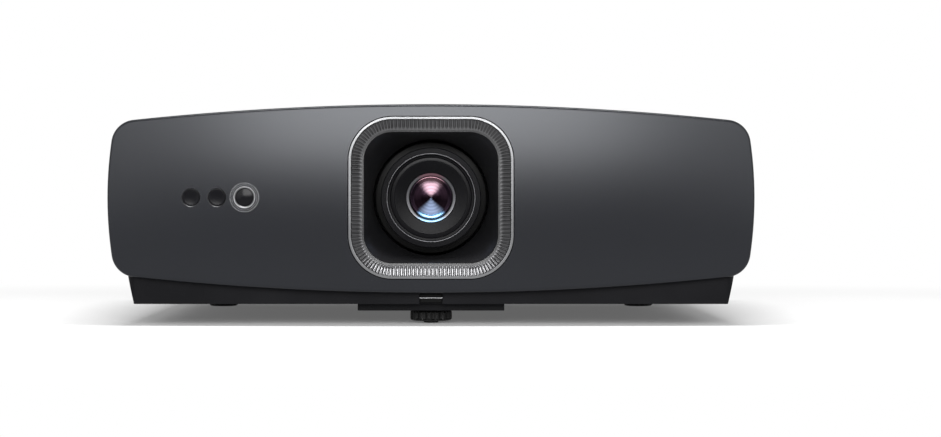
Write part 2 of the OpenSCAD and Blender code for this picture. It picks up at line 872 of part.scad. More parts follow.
module exhaust_rotor_front() {
    color([0.14, 0.14, 0.15]) place_fan(-1, exhaust_y[0]) rotor();
}

module exhaust_rotor_rear() {
    color([0.14, 0.14, 0.15]) place_fan(-1, exhaust_y[1]) rotor();
}

module intake_fan_frame() {
    color([0.10, 0.10, 0.11]) place_fan(1, intake_y) fan_frame();
}

module intake_rotor() {
    color([0.14, 0.14, 0.15]) place_fan(1, intake_y) rotor();
}

// ---- Electronics ----
module drilled_board(xs, ys, z) {
    difference() {
        block([xs[0], ys[0], z], [xs[1], ys[1], z + board_t]);
        corners(xs + [board_inset, -board_inset], ys + [board_inset, -board_inset])
            post(0, 0, z - over, z + board_t + over, screw_r);
    }
}

module main_board() {
    color([0.08, 0.28, 0.16]) drilled_board(main_x, main_y, board_z);
    color([0.12, 0.12, 0.12]) {
        block([-30, main_y[0] + 18, board_top], [-2, main_y[0] + 44, board_top + 3]);
        block([20, main_y[0] + 20, board_top], [36, main_y[0] + 40, board_top + 2]);
        block([44, main_y[0] + 16, board_top], [60, main_y[0] + 42, board_top + 8]);
    }
}

module power_board() {
    color([0.45, 0.33, 0.16]) drilled_board(power_x, power_y, power_z);
    color([0.85, 0.78, 0.30]) block([94, -40, power_z + board_t], [124, -8, power_z + 26]);
    color([0.10, 0.12, 0.25]) for (y = [8, 32]) post(136, y, power_z + board_t, power_z + 30, 9);
    color([0.15, 0.15, 0.15]) block([92, 14, power_z + board_t], [112, 40, power_z + 18]);
}

module camera_module() {
    y = front_y + fascia_t;
    color([0.05, 0.05, 0.06]) {
        translate([camera_x, front_y + 0.6, window_z]) rotate([-90, 0, 0]) cylinder(h = 9, r = camera_r);
        block([window_x[0] - 8, front_y + 9, window_z - 10], [camera_x + 11, front_y + 11, window_z + 10]);
        for (x = window_x) block([x - 3, y + 1, window_z - 3], [x + 3, front_y + 9, window_z + 3]);
    }
}

module camera_ring() {
    color([0.78, 0.79, 0.80]) translate([camera_x, front_y + 0.2, window_z]) rotate([-90, 0, 0])
        difference() {
            cylinder(h = fascia_t, r = camera_ring_r);
            translate([0, 0, -over]) cylinder(h = fascia_t + 2 * over, r = camera_r);
        }
}

module sensor_windows() {
    color([0.03, 0.03, 0.04]) for (x = window_x)
        translate([x, front_y + 0.3, window_z]) rotate([-90, 0, 0]) cylinder(h = fascia_t + 0.7, r = window_r);
}

module speaker(side) {
    y = cover_end;
    z = speaker_z;
    translate([side * speaker_x, y, z]) rotate([90, 0, 0]) {
        color([0.12, 0.12, 0.13]) difference() {
            translate([0, 0, 4]) cube([speaker_side, speaker_side, 8], center = true);
            translate([0, 0, -over]) cylinder(h = 8 + 2 * over, r = 22);
        }
        color([0.20, 0.20, 0.21]) rotate_extrude()
            polygon([[0, 12], [8, 12], [22, 4], [22, 5.5], [9, 14], [0, 14]]);
        color([0.45, 0.46, 0.47]) translate([0, 0, 14]) cylinder(h = 12, r = 15);
        color([0.12, 0.12, 0.13]) for (i = [0:3]) rotate(i * 90 + 45)
            block([14, -2, 13], [24, 2, 14.5]);
        color([0.12, 0.12, 0.13]) for (i = [0:3]) rotate(i * 90 + 45)
            block([22.5, -2, 7], [24.5, 2, 14.5]);
    }
}

module left_speaker() {
    speaker(-1);
}

module right_speaker() {
    speaker(1);
}

// ---- Sockets ----
module socket(x, size, wall, tongue) {
    low = [x - size.x / 2, socket_back, board_top];
    high = [x + size.x / 2, socket_face, board_top + size.y];
    difference() {
        block(low, high);
        block(low + [wall, 3, wall], [high.x - wall, high.y + over, high.z - wall]);
    }
    block([x - tongue.x / 2, socket_back + 2, board_top + size.y / 2],
          [x + tongue.x / 2, socket_face - 2, board_top + size.y / 2 + tongue.y]);
}

module hdmi_sockets() {
    color([0.72, 0.73, 0.74]) for (x = hdmi_x) socket(x, hdmi_size, 0.8, [11, 1.2]);
}

module usb_sockets() {
    color([0.72, 0.73, 0.74]) for (x = usb_x) socket(x, usb_size, 0.8, [11, 1.8]);
}

module audio_jacks() {
    color([0.20, 0.20, 0.21]) for (x = jack_x) difference() {
        union() {
            translate([x, socket_back, board_top + jack_r]) rotate([-90, 0, 0])
                cylinder(h = socket_face - socket_back, r = jack_r);
            block([x - jack_r, socket_back, board_top], [x + jack_r, cover_end - 1, board_top + jack_r]);
        }
        translate([x, socket_back + 2, board_top + jack_r]) rotate([-90, 0, 0])
            cylinder(h = fascia_d, r = jack_bore_r);
    }
}

module mains_inlet() {
    half = inlet_size / 2;
    mouth = inlet_mouth / 2;
    color([0.06, 0.06, 0.06]) difference() {
        union() {
            block([inlet_x - half.x, cover_end - 16, inlet_z - half.y],
                  [inlet_x + half.x, socket_face, inlet_z + half.y]);
            block([inlet_x - half.x - 4, cover_end - 3, inlet_z - half.y - 3],
                  [inlet_x + half.x + 4, cover_end, inlet_z + half.y + 3]);
        }
        block([inlet_x - mouth.x, socket_face - inlet_depth, inlet_z - mouth.y],
              [inlet_x + mouth.x, socket_face + over, inlet_z + mouth.y]);
    }
    color([0.80, 0.74, 0.50]) for (pin = [[-7, -2], [7, -2], [0, 2]])
        block([inlet_x + pin.x - 1, socket_face - inlet_depth, inlet_z + pin.y - 2],
              [inlet_x + pin.x + 1, socket_face - 2, inlet_z + pin.y + 2]);
}

// ---- Keys ----
key_top = crown_z - 0.5;
flange_top = ceiling_z - 1;
flange_t = 1.2;
dome_top = flange_top - flange_t - key_travel - 0.2;
key_board_z = dome_top - 2.6 - board_t;
key_post_x = side_key_x + 7;
key_post_y = [keypad_y - 34, keypad_y + 18];
key_screw_r = 1.2;
sector = 84;

module keypad_board() {
    top = key_board_z + board_t;
    color([0.08, 0.28, 0.16]) difference() {
        block([-key_post_x - 4, key_post_y[0] - 4, key_board_z], [key_post_x + 4, key_post_y[1] + 4, top]);
        corners([-key_post_x, key_post_x], key_post_y)
            post(0, 0, key_board_z - over, top + over, key_screw_r);
    }
    color([0.12, 0.12, 0.12]) {
        for (x = [-side_key_x, 0, side_key_x]) post(x, keypad_y, top, dome_top, 2);
        for (a = [0:90:270]) translate([0, keypad_y, 0]) rotate(a)
            post((ok_r + pad_r) / 2, 0, top, dome_top, 2);
    }
}

module status_lights() {
    color([0.75, 0.85, 0.90]) for (x = status_x)
        post(x, status_y, key_board_z + board_t, crown_z - cover_inset + 0.1, status_r);
}

module round_key(x) {
    color([0.30, 0.31, 0.33]) {
        post(x, keypad_y, flange_top - flange_t, key_top, key_r);
        post(x, keypad_y, flange_top - flange_t, flange_top, key_r + 1.5);
    }
}

module sector_key(turn) {
    color([0.24, 0.25, 0.27]) translate([0, keypad_y, 0]) rotate(turn - sector / 2)
        rotate_extrude(angle = sector) polygon([
            [ok_r + 0.6, flange_top - flange_t], [pad_r + 1.5, flange_top - flange_t],
            [pad_r + 1.5, flange_top], [pad_r, flange_top], [pad_r, key_top], [ok_r + 0.6, key_top]
        ]);
}

module key_power() {
    round_key(-side_key_x);
}

module key_menu() {
    round_key(side_key_x);
}

module key_ok() {
    color([0.30, 0.31, 0.33]) post(0, keypad_y, flange_top - flange_t, key_top, ok_r);
}

module key_right() {
    sector_key(0);
}

module key_up() {
    sector_key(90);
}

module key_left() {
    sector_key(180);
}

module key_down() {
    sector_key(270);
}

// ---- Screws ----
module screw(z_face, z_end, shank_r, head_r) {
    side = z_end > z_face ? -1 : 1;
    head_t = 1.4;
    post(0, 0, min(z_face, z_end), max(z_face, z_end), shank_r);
    post(0, 0, min(z_face, z_face + side * head_t), max(z_face, z_face + side * head_t), head_r);
}

module screws() {
    color([0.70, 0.70, 0.72]) {
        corners([-cover_screw_x, cover_screw_x], cover_screw_y)
            screw(floor_z, split_z + 10, screw_r, 2 * screw_r - gap);
        corners(main_x + [board_inset, -board_inset], main_y + [board_inset, -board_inset])
            screw(board_top, board_z - 8, screw_r, screw_r + 1.2);
        corners(power_x + [board_inset, -board_inset], power_y + [board_inset, -board_inset])
            screw(power_z + board_t, floor_z + over, screw_r, screw_r + 1.2);
        corners([-key_post_x, key_post_x], key_post_y)
            screw(key_board_z, flange_top, key_screw_r, key_screw_r + 1);
    }
}

base_chassis();
front_fascia();
top_cover();
left_grille();
right_grille();
rear_panel();
lens_hood();
hood_trim();
lens_door();
foot_plate();
shift_frame();
lens_carriage();
lens_barrel();
focus_ring();
focus_cell();
front_glass();
retaining_ring();
zoom_ring();
zoom_cell();
shift_dial();
light_engine();
prism();
image_chip();
light_modules();
heat_pipes();
heat_sinks();
exhaust_fan_frames();
exhaust_rotor_front();
exhaust_rotor_rear();
intake_fan_frame();
intake_rotor();
main_board();
power_board();
keypad_board();
camera_module();
camera_ring();
sensor_windows();
left_speaker();
right_speaker();
hdmi_sockets();
usb_sockets();
audio_jacks();
mains_inlet();
status_lights();
key_power();
key_menu();
key_ok();
key_up();
key_down();
key_left();
key_right();
front_post();
front_stop();
front_foot();
release_button();
rear_stop_left();
rear_stop_right();
rear_foot_left();
rear_foot_right();
screws();
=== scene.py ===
import bisect
import itertools
import json
import math

import bmesh
import bpy
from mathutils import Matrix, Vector

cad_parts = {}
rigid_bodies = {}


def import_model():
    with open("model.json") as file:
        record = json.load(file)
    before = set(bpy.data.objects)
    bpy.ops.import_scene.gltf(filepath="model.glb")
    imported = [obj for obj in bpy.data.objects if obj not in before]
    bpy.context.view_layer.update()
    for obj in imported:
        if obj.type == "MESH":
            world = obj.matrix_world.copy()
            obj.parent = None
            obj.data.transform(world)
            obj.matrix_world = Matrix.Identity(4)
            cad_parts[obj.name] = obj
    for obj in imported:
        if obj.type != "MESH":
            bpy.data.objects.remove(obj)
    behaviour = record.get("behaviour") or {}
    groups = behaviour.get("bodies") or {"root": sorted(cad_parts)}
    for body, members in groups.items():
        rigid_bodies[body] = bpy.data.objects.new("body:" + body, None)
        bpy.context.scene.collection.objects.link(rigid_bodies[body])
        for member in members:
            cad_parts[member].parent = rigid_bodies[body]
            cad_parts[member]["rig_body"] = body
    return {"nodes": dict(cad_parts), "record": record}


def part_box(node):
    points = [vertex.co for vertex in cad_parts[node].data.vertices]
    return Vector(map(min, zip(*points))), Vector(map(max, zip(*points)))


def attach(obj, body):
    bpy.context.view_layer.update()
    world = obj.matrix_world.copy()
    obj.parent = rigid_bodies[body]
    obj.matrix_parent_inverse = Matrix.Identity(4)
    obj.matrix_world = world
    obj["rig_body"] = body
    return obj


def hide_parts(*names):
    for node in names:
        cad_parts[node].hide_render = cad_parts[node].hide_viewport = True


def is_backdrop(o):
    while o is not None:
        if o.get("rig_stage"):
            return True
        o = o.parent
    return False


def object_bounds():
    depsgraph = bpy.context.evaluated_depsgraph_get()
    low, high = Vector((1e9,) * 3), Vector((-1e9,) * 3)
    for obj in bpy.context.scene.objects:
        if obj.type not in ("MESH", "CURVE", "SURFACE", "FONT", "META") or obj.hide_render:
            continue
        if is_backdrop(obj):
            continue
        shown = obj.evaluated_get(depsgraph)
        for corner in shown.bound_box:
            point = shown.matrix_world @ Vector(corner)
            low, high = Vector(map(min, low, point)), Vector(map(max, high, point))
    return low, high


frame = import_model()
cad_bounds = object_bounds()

bl_info = {
    "name": "Home Projector Looks",
    "version": (1, 0, 0),
    "blender": (4, 5, 0),
    "location": "3D View > Sidebar > Projector",
    "description": "Builds the visible shells, lens, keys and feet of a home projector round its CAD frame",
    "category": "Add Mesh",
}

MM = 0.001
TAU = 2 * math.pi


# ---- Places taken from the frame ----

def span(node):
    low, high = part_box(node)
    return low, high


def middle(node):
    low, high = span(node)
    return (low + high) / 2


FASCIA_LOW, FASCIA_HIGH = span("front_fascia")
HALF_W = FASCIA_HIGH.x
FRONT_Y = FASCIA_LOW.y
FASCIA_BACK = FASCIA_HIGH.y
CROWN_Z = FASCIA_HIGH.z
BROW_Z = FASCIA_LOW.z
TRIM_LOW, TRIM_HIGH = span("hood_trim")
AXIS_Z = middle("hood_trim").z
HOOD_W = TRIM_HIGH.x - TRIM_LOW.x
HOOD_H = TRIM_HIGH.z - TRIM_LOW.z
HOOD_BACK = span("lens_hood")[1].y
LENS_LOW, LENS_HIGH = span("lens_barrel")
LENS_Y = LENS_LOW.y
LENS_R = LENS_HIGH.x
SEAT_R = span("retaining_ring")[1].x
GLASS_EDGE_R = span("front_glass")[1].x
CELL_LOW, CELL_HIGH = span("focus_cell")
CELL_R = CELL_HIGH.x
LENS_MOUTH_R = 0.0285
LENS_TUBE_R = 0.030
GLASS_SAG = 0.0021
HOOD_MOUTH_R = 0.0385
RIB_STEPS = 12
SLOPE_STEP = 1e-5  # step over which the slope of an edge is taken
HOLE_SIDES = 72
EDGE_STEPS = 8
RIB_SHAPE = (0.0, 0.15, 0.85, 1.0, 1.0, 1.0, 0.85, 0.15)  # height of one rib from valley to valley
RIM_GAP = 1e-6  # points further in than this stay off the rim of a ring or knob
ZOOM_LEVER = ((-0.003, -0.084), (0.003, -0.078))
FOOT_FLUTES = 15
RIPPLE_PITCH = 0.0022  # distance from one faint darker ring of a painted reflection to the next
AXLE = 1e-5  # radius at which a turned profile closes on its axis
WINDOW_Z = middle("sensor_windows").z
CAMERA_X = middle("camera_ring").x
WINDOW_HOLES = ((-0.1553, 0.0062), (-0.1384, 0.0062), (CAMERA_X, 0.0072))

# ---- Light and camera ----

CAMERA_DISTANCE = 1.4
CAMERA_LENS = 83.0
CAMERA_SHIFT = (0.042, -0.0221)
WORLD_FILL = 0.45
FLOOR_TONE = 0.80
# least emission share of the floor: painted light that lifts its shadows, under the case too
FLOOR_GLOW = 0.12
FADE_START = 0.28
FADE_END = 0.60
FLOOR_X = (-2.6, -0.9, 0.9, 2.6)
FLOOR_Y = (-0.92, 0.62)
CARDS = (("front_card", (-1.7, -2.42, -0.2), (1.7, -2.40, 0.28)),
         ("floor_card", (-1.7, -2.40, -0.02), (1.7, -0.92, -0.01)))
LIGHTS = (
    ("overhead", (0.0, -0.42, 1.5), (0.0, -0.2, 0.0), 1.0, 0.22, 21.0),
    ("front_high", (0.0, -2.083, 0.617), (0.0, -0.156, 0.083), 0.9, 0.67, 29.0),
    ("left_side", (-1.03, -1.63, 0.45), (0.0, -0.1, 0.08), 1.2, 1.2, 9.5),
    ("right_side", (1.03, -1.63, 0.45), (0.0, -0.1, 0.08), 1.2, 1.2, 9.5),
)


# ---- Settings ----

def length(name, text, default):
    return bpy.props.FloatProperty(name=name, description=text, default=default, min=0.0, unit="LENGTH")


def tint(name, text, default):
    return bpy.props.FloatVectorProperty(name=name, description=text, default=default, size=3,
                                         min=0.0, max=1.0, subtype="COLOR")


def amount(name, text, default):
    return bpy.props.FloatProperty(name=name, description=text, default=default, min=0.0, max=1.0,
                                   subtype="FACTOR")


class ShellSettings(bpy.types.PropertyGroup):
    crown_drop: length("Crown Drop", "How far the top edge falls from the middle to the sides", 0.0118)
    side_radius: length("Side Radius", "Radius of the bow of each side", 0.27)
    corner_radius: length("Corner Radius", "Radius of the four corners seen from the front", 0.016)
    bow_x: length("Side Bow", "How far the front face falls back at its two ends", 0.006)
    bow_z: length("Height Bow", "How far the front face falls back at its top and bottom", 0.0026)
    edge: length("Front Edge", "Radius of the edge round the front face", 0.002)
    wall: length("Wall", "Wall of the front shell", 0.003)


class HoodSettings(bpy.types.PropertyGroup):
    corner: length("Corner Radius", "Corner radius of the recess", 0.0285)
    trim_width: length("Trim Width", "Width of the bright edge", 0.0018)
    rib_width: length("Rib Width", "Width of the ribbed slope", 0.0068)
    rib_depth: length("Rib Depth", "Depth of the ribbed slope", 0.006)
    rib_height: length("Rib Height", "Height of each rib", 0.0009)
    rib_count: bpy.props.IntProperty(name="Ribs", description="Ribs round the recess", default=148, min=12)


class ColourSettings(bpy.types.PropertyGroup):
    shell: tint("Front Shell", "Satin coat of the front shell", (0.0042, 0.0046, 0.0064))
    # painted reflections of the lamps in the lens glass: pink above the axis, blue below it
    painted_reflection_top: tint("Upper Painted Reflection", "Reflection tint of the upper half of the glass", (0.088, 0.057, 0.069))
    painted_reflection_bottom: tint("Lower Painted Reflection", "Reflection tint of the lower half of the glass", (0.31, 0.39, 0.59))
    shell_roughness: amount("Shell Roughness", "Roughness of the satin coat", 0.24)


def shell():
    return bpy.context.scene.projector_shell


def hood():
    return bpy.context.scene.projector_hood


def colours():
    return bpy.context.scene.projector_colours


# ---- Outlines ----

def top_edge(x):
    return CROWN_Z - shell().crown_drop * (x / HALF_W) ** 2


def brow_edge(x):
    return BROW_Z + shell().crown_drop * (x / HALF_W) ** 2


def slope_at(edge, x):
    return (edge(x + SLOPE_STEP) - edge(x - SLOPE_STEP)) / (2 * SLOPE_STEP)


def corner_arc(edge, sign):
    """Centre and tangent point of the round corner between a bowed edge and the bowed side."""
    radius = shell().corner_radius
    side = shell().side_radius
    low, high = HALF_W * 0.5, HALF_W
    for _ in range(60):
        x = (low + high) / 2
        slope = slope_at(edge, x)
        normal = Vector((-slope, 1.0)).normalized() * sign
        centre = Vector((x, edge(x))) - normal * radius
        reach = (centre - Vector((HALF_W - side, AXIS_Z))).length
        if reach < side - radius:
            low = x
        else:
            high = x
    return centre, x


def half_outline():
    """Points and outward normals of the right half of the case, from the crown down to the brow."""
    side = shell().side_radius
    radius = shell().corner_radius
    side_mid = Vector((HALF_W - side, AXIS_Z))
    found = []

    def bowed(edge, sign, limit, downward):
        steps = 300
        order = range(steps + 1) if downward else range(steps, -1, -1)
        for i in order:
            x = limit * i / steps
            slope = slope_at(edge, x)
            found.append((Vector((x, edge(x))), Vector((-slope, 1.0)).normalized() * sign))

    def arc(centre, r, start, end, steps):
        for i in range(1, steps):
            angle = start + (end - start) * i / steps
            normal = Vector((math.cos(angle), math.sin(angle)))
            found.append((centre + normal * r, normal))

    top_mid, top_x = corner_arc(top_edge, 1)
    low_mid, low_x = corner_arc(brow_edge, -1)
    bowed(top_edge, 1, top_x, True)
    to_side = (top_mid - side_mid).to_2d()
    from_side = (low_mid - side_mid).to_2d()
    side_start = math.atan2(to_side.y, to_side.x)
    side_end = math.atan2(from_side.y, from_side.x)
    first = found[-1][1]
    arc(top_mid, radius, math.atan2(first.y, first.x), side_start, 40)
    arc(side_mid, side, side_start, side_end, 160)
    slope = slope_at(brow_edge, low_x)
    last = Vector((slope, -1.0)).normalized()
    arc(low_mid, radius, side_end, math.atan2(last.y, last.x), 40)
    bowed(brow_edge, -1, low_x, False)
    return found


class Outline:
    """A closed outline round the lens axis that can be read at any angle and moved in by an inset."""

    def __init__(self, half):
        left = [(Vector((-p.x, p.y)), Vector((-n.x, n.y))) for p, n in reversed(half[1:-1])]
        self.points = []
        for p, n in half + left:
            angle = math.atan2(p.x, p.y - AXIS_Z) % TAU
            self.points.append((angle, p, n))
        self.points.sort(key=lambda item: item[0])
        self.angles = [item[0] for item in self.points]

    def at(self, angle, inset=0.0):
        angle = angle % TAU
        i = bisect.bisect_right(self.angles, angle) % len(self.points)
        a, b = self.points[i - 1], self.points[i]
        gap = (b[0] - a[0]) % TAU
        t = ((angle - a[0]) % TAU) / gap if gap else 0.0
        return a[1].lerp(b[1], t) - a[2].lerp(b[2], t).normalized() * inset


def rounded_half(width, height, radius):
    """Right half of a rounded rectangle round the lens axis, as points and outward normals."""
    found = []
    flat_x, flat_z = width / 2 - radius, height / 2 - radius
    for i in range(60):
        found.append((Vector((flat_x * i / 60, AXIS_Z + height / 2)), Vector((0, 1))))
    for i in range(81):
        angle = math.pi / 2 - math.pi / 2 * i / 80
        normal = Vector((math.cos(angle), math.sin(angle)))
        found.append((Vector((flat_x, AXIS_Z + flat_z)) + normal * radius, normal))
    for i in range(1, 60):
        found.append((Vector((width / 2, AXIS_Z + flat_z - 2 * flat_z * i / 60)), Vector((1, 0))))
    for i in range(81):
        angle = -math.pi / 2 * i / 80
        normal = Vector((math.cos(angle), math.sin(angle)))
        found.append((Vector((flat_x, AXIS_Z - flat_z)) + normal * radius, normal))
    for i in range(1, 61):
        found.append((Vector((flat_x * (60 - i) / 60, AXIS_Z - height / 2)), Vector((0, -1))))
    return found


def face_y(x, z):
    """Depth of the softly bowed front face at a place on it."""
    across = x / HALF_W
    up = (z - AXIS_Z) / (CROWN_Z - AXIS_Z)
    return FRONT_Y + shell().bow_x * across ** 2 + shell().bow_z * up ** 2


def ring_angles():
    """Angles round the lens axis, closer together where the case has its corners."""
    angles = {round(i * TAU / 240, 6) for i in range(240)}
    corner = math.atan2(HALF_W, CROWN_Z - AXIS_Z)
    for mirror in (1, -1):
        for centre in (corner, math.pi - corner):
            for i in range(-30, 31):
                angles.add(round((mirror * (centre + i * 0.004)) % TAU, 6))
    return sorted(angles)


# ---- Mesh making ----

def new_piece(name, mesh_data, body, slot, look=None, smooth=30.0, replaces=()):
    """Turns a bmesh into a piece that rides on a body. Its finish is its slot's, or another look."""
    mesh = bpy.data.meshes.new(name)
    bmesh.ops.recalc_face_normals(mesh_data, faces=mesh_data.faces)
    if smooth:
        for face in mesh_data.faces:
            face.smooth = True
        for edge in mesh_data.edges:
            if len(edge.link_faces) == 2 and edge.calc_face_angle(0.0) > math.radians(smooth):
                edge.smooth = False
    mesh_data.to_mesh(mesh)
    mesh_data.free()
    piece = bpy.data.objects.new(name, mesh)
    bpy.context.scene.collection.objects.link(piece)
    mesh.materials.append(finish(look or slot))
    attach(piece, body)
    if replaces:
        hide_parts(*replaces)
    return piece


def loft(rings, closed_rings=False, caps=False):
    """Joins rings of equally many points with quads."""
    made = bmesh.new()
    rows = [[made.verts.new(p) for p in ring] for ring in rings]
    pairs = list(zip(rows, rows[1:]))
    if closed_rings:
        pairs.append((rows[-1], rows[0]))
    count = len(rows[0])
    for a, b in pairs:
        for i in range(count):
            j = (i + 1) % count
            made.faces.new((a[i], a[j], b[j], b[i]))
    if caps:
        made.faces.new(rows[0])
        made.faces.new(list(reversed(rows[-1])))
    return made


def lathe(profile, segments=160, centre_x=0.0, centre_z=None, wave=None):
    """Turns a profile of (radius, depth) about an axis along Y. wave moves a point outward."""
    z = AXIS_Z if centre_z is None else centre_z
    rings = []
    for radius, y in profile:
        ring = []
        for i in range(segments):
            angle = TAU * i / segments
            r = radius + (wave(angle, radius, y) if wave else 0.0)
            ring.append((centre_x + r * math.sin(angle), y, z + r * math.cos(angle)))
        rings.append(ring)
    return loft(rings, closed_rings=True)


def lathe_up(profile, centre, segments=96, wave=None):
    """Turns a closed profile of (radius, height) about an upright axis."""
    rings = []
    for radius, z in profile:
        ring = []
        for i in range(segments):
            angle = TAU * i / segments
            r = radius + (wave(angle, radius, z) if wave else 0.0)
            ring.append((centre.x + r * math.cos(angle), centre.y + r * math.sin(angle), z))
        rings.append(ring)
    return loft(rings, closed_rings=True)


def add_box(made, low, high):
    places = itertools.product(*zip(low, high))
    corners = [made.verts.new(place) for place in places]
    for quad in ((0, 1, 3, 2), (4, 6, 7, 5), (0, 4, 5, 1), (2, 3, 7, 6), (0, 2, 6, 4), (1, 5, 7, 3)):
        made.faces.new([corners[i] for i in quad])


def round_edges(piece, width, angle=30.0):
    """Bevels the edges of a piece that are sharper than an angle."""
    bevel = piece.modifiers.new("Edge", "BEVEL")
    bevel.width = width
    bevel.segments = 2
    bevel.limit_method = "ANGLE"
    bevel.angle_limit = math.radians(angle)


def softened(node, width, angle=35.0):
    """A copy of a CAD node with its sharp edges rounded, which stands for that node."""
    source = frame["nodes"][node]
    made = bmesh.new()
    made.from_mesh(source.data)
    bmesh.ops.remove_doubles(made, verts=made.verts, dist=1e-6)
    bmesh.ops.dissolve_limit(made, angle_limit=math.radians(0.5), verts=made.verts, edges=made.edges)
    piece = new_piece(node + "_soft", made, source["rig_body"], SLOT_OF[node], smooth=angle, replaces=(node,))
    round_edges(piece, width, angle)


def cut(piece, cutters):
    """Takes closed cutter meshes away from a piece."""
    for cutter in cutters:
        bmesh.ops.recalc_face_normals(cutter, faces=cutter.faces)
        mesh = bpy.data.meshes.new("cutter")
        cutter.to_mesh(mesh)
        cutter.free()
        tool = bpy.data.objects.new("cutter", mesh)
        bpy.context.scene.collection.objects.link(tool)
        modifier = piece.modifiers.new("Cut", "BOOLEAN")
        modifier.operation = "DIFFERENCE"
        modifier.solver = "EXACT"
        modifier.object = tool
        bpy.context.view_layer.objects.active = piece
        bpy.context.view_layer.update()
        with bpy.context.temp_override(object=piece, active_object=piece, selected_objects=[piece]):
            bpy.ops.object.modifier_apply(modifier=modifier.name)
        bpy.data.objects.remove(tool)
        bpy.data.meshes.remove(mesh)


def sharpen(piece, angle=30.0):
    """Marks the creases of a cut piece sharp and the rest smooth."""
    made = bmesh.new()
    made.from_mesh(piece.data)
    for face in made.faces:
        face.smooth = True
    for edge in made.edges:
        edge.smooth = not (len(edge.link_faces) == 2 and edge.calc_face_angle(0.0) > math.radians(angle))
    made.to_mesh(piece.data)
    made.free()


# ---- Materials ----

def node(tree, kind, inputs=None, **settings):
    """Adds a shader node; an input is a value or another node's output."""
    made = tree.nodes.new(kind)
    for key, value in settings.items():
        setattr(made, key, value)
    for key, value in (inputs or {}).items():
        if isinstance(value, bpy.types.NodeSocket):
            tree.links.new(value, made.inputs[key])
        else:
            made.inputs[key].default_value = value
    return made


def maths(tree, operation, first, second=None, clamp=False):
    """The result of a calculation on one or two values."""
    inputs = {0: first} if second is None else {0: first, 1: second}
    return node(tree, "ShaderNodeMath", inputs, operation=operation, use_clamp=clamp).outputs["Value"]


def new_material(name):
    """An empty material with its node tree and its shader."""
    material = bpy.data.materials.new(name)
    material.use_nodes = True
    return material, material.node_tree, material.node_tree.nodes["Principled BSDF"]


def ranged(tree, value, low, high, start=0.35, end=0.65):
    """Maps a noise value onto a range."""
    made = node(tree, "ShaderNodeMapRange", {"Value": value, "From Min": start, "From Max": end,
                                             "To Min": low, "To Max": high})
    return made.outputs["Result"]


def scaled_colour(tree, colour, factor):
    made = node(tree, "ShaderNodeVectorMath", {0: tuple(colour), "Scale": factor}, operation="SCALE")
    return made.outputs["Vector"]


def surface(name, colour, roughness=0.45, metallic=0.0, grain=1500.0, depth=0.03, spread=0.2, wear=0.06,
            coat=0.0, broad=22.0, stretch=(1.0, 1.0, 1.0), ior=1.5, specular=0.5):
    """A moulded, painted or machined finish with broad shading, fine grain and uneven roughness."""
    material, tree, shader = new_material(name)
    place = node(tree, "ShaderNodeTexCoord")
    moved = node(tree, "ShaderNodeMapping", {"Vector": place.outputs["Object"], "Scale": stretch})
    spot = moved.outputs["Vector"]
    clouds = node(tree, "ShaderNodeTexNoise", {"Vector": spot, "Scale": broad, "Detail": 3.0})
    fine = node(tree, "ShaderNodeTexNoise", {"Vector": spot, "Scale": grain, "Detail": 2.0})
    shade = ranged(tree, clouds.outputs["Fac"], 1 - spread / 2, 1 + spread / 2)
    tree.links.new(scaled_colour(tree, colour, shade), shader.inputs["Base Color"])
    rough = ranged(tree, clouds.outputs["Fac"], roughness - wear / 2, roughness + wear / 2)
    tree.links.new(rough, shader.inputs["Roughness"])
    bump = node(tree, "ShaderNodeBump",
                {"Height": fine.outputs["Fac"], "Distance": depth * MM, "Strength": 0.5})
    tree.links.new(bump.outputs["Normal"], shader.inputs["Normal"])
    shader.inputs["Metallic"].default_value = metallic
    shader.inputs["IOR"].default_value = ior
    shader.inputs["Specular IOR Level"].default_value = specular
    shader.inputs["Coat Weight"].default_value = coat
    shader.inputs["Coat Roughness"].default_value = 0.08
    return material


